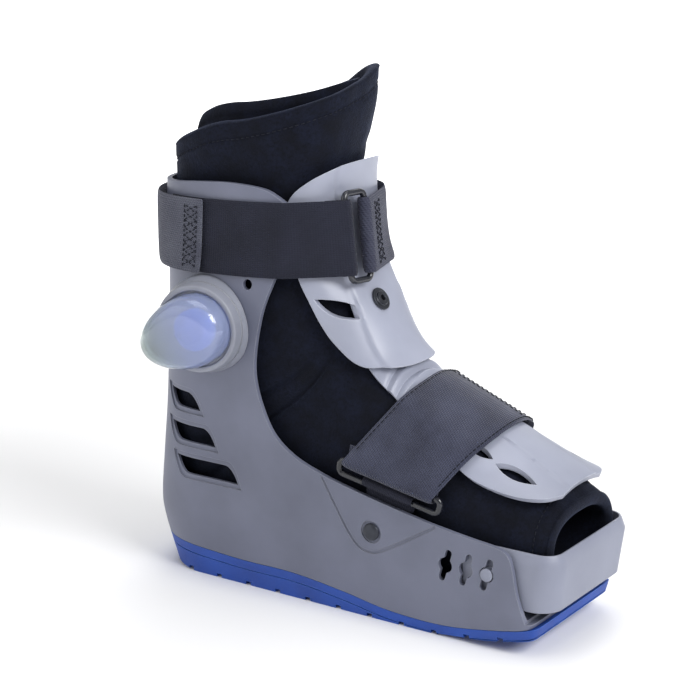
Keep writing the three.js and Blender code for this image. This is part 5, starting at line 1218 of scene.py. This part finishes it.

# %% [markdown]
# Silicone is milky: light goes in and spreads. The narrow end of the dome is greyer; past it, the button's
# blue is painted into the dome's own colour, on top of what the clear wall really lets through.

# %% Silicone dome
silicone = finish("silicone_milky", "dfe5f2", "f0f4fc", 30, 0.16,
                  {"IOR": 1.41, "Transmission Weight": 0.74, "Coat Weight": 0.5, "Coat Roughness": 0.12},
                  None, 0.5, 1.5, 0.03)
tree, bsdf, _ = opened(silicone)
place = add(tree, "TexCoord").outputs["Object"]
way = PUMP_SIDE * math.cos(TILT) + np.array([0, 0, 1.0]) * math.sin(TILT)
along = add(tree, "VectorMath", {0: place, 1: tuple(way)}, operation="DOT_PRODUCT").outputs["Value"]
middle = float(PUMP_FACE @ way) * 0.001
# Painted see-through: past the narrow end the dome's colour turns blue, standing in for the button behind the
# wall.
ends = ramp(tree, along, hexcolour("c0cccb"), hexcolour("cbd7fa"), middle - 0.03, middle - 0.004)
tree.links.new(ends, bsdf.inputs["Base Color"])

# %% [markdown]
# Webbing has ribs across it and warp threads along it, both drawn from the band's own map in
# millimetres. The brushed lining has short fibres: fine clumps, a soft sheen and no gloss.

# %% Cloth


def woven(name, dark, light, rib_mm, warp_mm, depth, twill=0.0, sheen=0.12):
    """Ribs from a sine along the band and threads from a sine across it, as height and as painted shade."""
    cloth = {"Specular IOR Level": 0.25, "Sheen Weight": sheen, "Sheen Roughness": 0.4}
    mat = finish(name, dark, light, 25, 0.78, cloth, None, 0.15, 0.25, 0.3)
    tree, bsdf, bump = opened(mat)
    uv = add(tree, "TexCoord").outputs["UV"]
    parts = add(tree, "SeparateXYZ", {0: uv})
    slant = add(tree, "Math", {0: parts.outputs[1], 1: twill, 2: parts.outputs[0]},
                operation="MULTIPLY_ADD").outputs[0]
    sines = []
    for value, pitch in ((slant, rib_mm), (parts.outputs[1], warp_mm)):
        phase = add(tree, "Math", {0: value, 1: 2 * math.pi * 1000 / pitch}, operation="MULTIPLY").outputs[0]
        sines.append(add(tree, "Math", {0: phase}, operation="SINE").outputs[0])
    height = add(tree, "Math", {0: sines[0], 1: 0.6, 2: sines[1]}, operation="MULTIPLY_ADD").outputs[0]
    relief = add(tree, "Bump", {"Height": height, "Strength": 0.8, "Distance": depth * 0.001,
                                "Normal": bump.outputs[0]}).outputs[0]
    tree.links.new(relief, bsdf.inputs["Normal"])
    # Painted shade: the low parts of the weave are darkened towards the dark colour.
    base = bsdf.inputs["Base Color"].links[0].from_socket
    tree.links.new(ramp(tree, height, hexcolour(dark), base, -1.3, 0.2), bsdf.inputs["Base Color"])
    return mat


strap_dark = woven("nylon_webbing_smooth", "191b28", "232534", 1.6, 1.1, 0.14)
strap_ribbed = woven("nylon_webbing_ribbed", "353748", "464959", 1.9, 1.3, 0.26, 0.5)
strap_back = woven("nylon_webbing_back", "4c4e5c", "60636f", 1.9, 1.3, 0.26, 0.5)
strap_foot = woven("nylon_webbing_twill", "313446", "474b60", 1.7, 1.2, 0.26, 0.6, 0.25)
brushed = finish("nylon_brushed_foam_backed", "090b15", "111524", 14, 0.86,
                 {"Specular IOR Level": 0.15, "Sheen Weight": 0.2, "Sheen Roughness": 0.45},
                 None, 0.5, 0.8, 0.5)
tree, bsdf, bump = opened(brushed)
bsdf.inputs["Sheen Tint"].default_value = hexcolour("8f9cc4")
place = add(tree, "TexCoord").outputs["Object"]
fluff = add(tree, "TexNoise", {"Vector": place, "Scale": 520.0, "Detail": 5.0, "Roughness": 0.7}).outputs[0]
nap = add(tree, "Bump", {"Height": fluff, "Strength": 0.5, "Distance": 0.0009,
                         "Normal": bump.outputs[0]}).outputs[0]
tree.links.new(nap, bsdf.inputs["Normal"])
base = bsdf.inputs["Base Color"].links[0].from_socket
tree.links.new(ramp(tree, fluff, hexcolour("05070e"), base, 0.3, 0.55), bsdf.inputs["Base Color"])

# %% [markdown]
# ## Everything in its place
# Each piece takes its finish and rides on the boot's one body, and the solid it was made from is hidden.

# %% Assign and hide
plan = [
    (shell, abs_grey, "shell", "shell_plastic"),
    (outsole, rubber, "outsole", "sole_rubber"),
    (guard, abs_guard, "toe_guard", "shell_plastic"),
    (shin, abs_pale, "shin_plate", "plate_plastic"),
    (dorsal, abs_pale, "dorsal_plate", "plate_plastic"),
    (eyelet, enamel, "shin_rivet", "rivet_metal"),
    (side_rivets[0], enamel, "side_rivet_lateral", "rivet_metal"),
    (side_rivets[1], enamel, "side_rivet_medial", "rivet_metal"),
    (leg_ring, acetal, "leg_ring", "ring_plastic"),
    (foot_ring, acetal, "foot_ring", "ring_plastic"),
    (lateral, strap_dark, "leg_strap_lateral", "strap_webbing"),
    (medial, strap_ribbed, "leg_strap_medial", "strap_webbing"),
    (back, strap_back, "leg_webbing", "strap_webbing"),
    (foot, strap_foot, "foot_strap", "strap_webbing"),
    (anchor, strap_dark, "foot_anchor", "strap_webbing"),
    (liner, brushed, "liner", "liner_fabric"),
    (flap, brushed, "liner_inner_flap", "liner_fabric"),
    (housing, bezel, "pump_housing", "plate_plastic"),
    (bulb, silicone, "pump_bulb", "bulb_silicone"),
    (button, cap, "pump_button", "button_plastic"),
]
for piece, mat, node, slot in plan:
    piece.data.materials.clear()
    piece.data.materials.append(mat)
    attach(piece, "root")
    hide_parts(node)
for piece in threads:
    piece.data.materials.append(thread)
    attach(piece, "root")
print("pieces:", len(plan) + len(threads))

# %% [markdown]
# ## Floor, light and camera
# A round white floor with lamps on its far part, and a white wall behind it that only the camera sees, so
# it adds no light. The key comes from the front right, so the faces towards the toe are the lightest.

# %% Stage


def glow(name, strength):
    """White paper with its own light of the given strength."""
    mat = bpy.data.materials.new(name)
    mat.use_nodes = True
    bsdf = mat.node_tree.nodes["Principled BSDF"]
    bsdf.inputs["Roughness"].default_value = 0.9
    bsdf.inputs["Base Color"].default_value = hexcolour("f6f6f7")
    bsdf.inputs["Emission Color"].default_value = (1, 1, 1, 1)
    bsdf.inputs["Emission Strength"].default_value = strength
    return mat, mat.node_tree, bsdf


turn = np.linspace(0, 2 * np.pi, 96, endpoint=False)
disc = np.stack([2400 * np.cos(turn), 2400 * np.sin(turn), 0 * turn], -1)
floor = body("floor", disc, [list(range(96))])
paper, tree, paper_bsdf = glow("paper_white_floor", 0.0)
place = add(tree, "TexCoord").outputs["Object"]
far = add(tree, "VectorMath", {0: place}, operation="LENGTH").outputs["Value"]
lamp = add(tree, "MapRange", {"Value": far, "From Min": 0.3, "From Max": 1.5},
           interpolation_type="SMOOTHSTEP")
tree.links.new(lamp.outputs[0], paper_bsdf.inputs["Emission Strength"])
floor.data.materials.append(paper)
wall = np.array([(2390, -1), (2900, 60), (3400, 500), (3500, 1200), (3500, 3000), (2400, 4200), (20, 4300)])
points = np.stack([wall[:, :1] * np.cos(turn), wall[:, :1] * np.sin(turn), wall[:, 1:] + 0 * turn], -1)
backdrop = body("backdrop", points, quads(7, 96, around=True))
backdrop.data.materials.append(glow("paper_white_wall", 1.0)[0])
for ray in ("visible_diffuse", "visible_glossy", "visible_transmission", "visible_shadow"):
    setattr(backdrop, ray, False)


def aim(obj, place, target):
    """Puts an object at a place with its own -Z axis pointing at the target."""
    obj.location = place
    obj.rotation_euler = (Vector(target) - Vector(place)).to_track_quat("-Z", "Y").to_euler()


def light(name, place, target, size, power):
    """A square soft light aimed at a point."""
    data = bpy.data.lights.new(name, "AREA")
    data.size, data.energy = size, power
    obj = bpy.data.objects.new(name, data)
    obj.visible_camera = False
    bpy.context.scene.collection.objects.link(obj)
    aim(obj, place, target)


light("key_front_right", (1.65, -0.4, 1.35), (0, 0, 0.12), 1.0, 34)
light("fill_left", (-1.3, -1.6, 0.9), (0, 0, 0.12), 1.6, 9)
light("top", (-0.1, 0.1, 2.0), (0, 0, 0.1), 1.4, 13)
light("back", (-0.6, 1.5, 1.2), (0, 0, 0.15), 1.2, 10)
world = bpy.data.worlds.new("studio")
world.use_nodes = True
world.node_tree.nodes["Background"].inputs[0].default_value = (1, 1, 1, 1)
world.node_tree.nodes["Background"].inputs[1].default_value = 0.42
bpy.context.scene.world = world
bpy.context.scene.view_settings.view_transform = "Standard"

camera = bpy.data.objects.new("camera", bpy.data.cameras.new("camera"))
bpy.context.scene.collection.objects.link(camera)
camera.data.lens, camera.data.sensor_width = 116.1, 36
camera.data.clip_end = 50
aim(camera, (0.6932, -1.0936, 0.5054), (-0.017, 0, 0.156))
bpy.context.scene.camera = camera
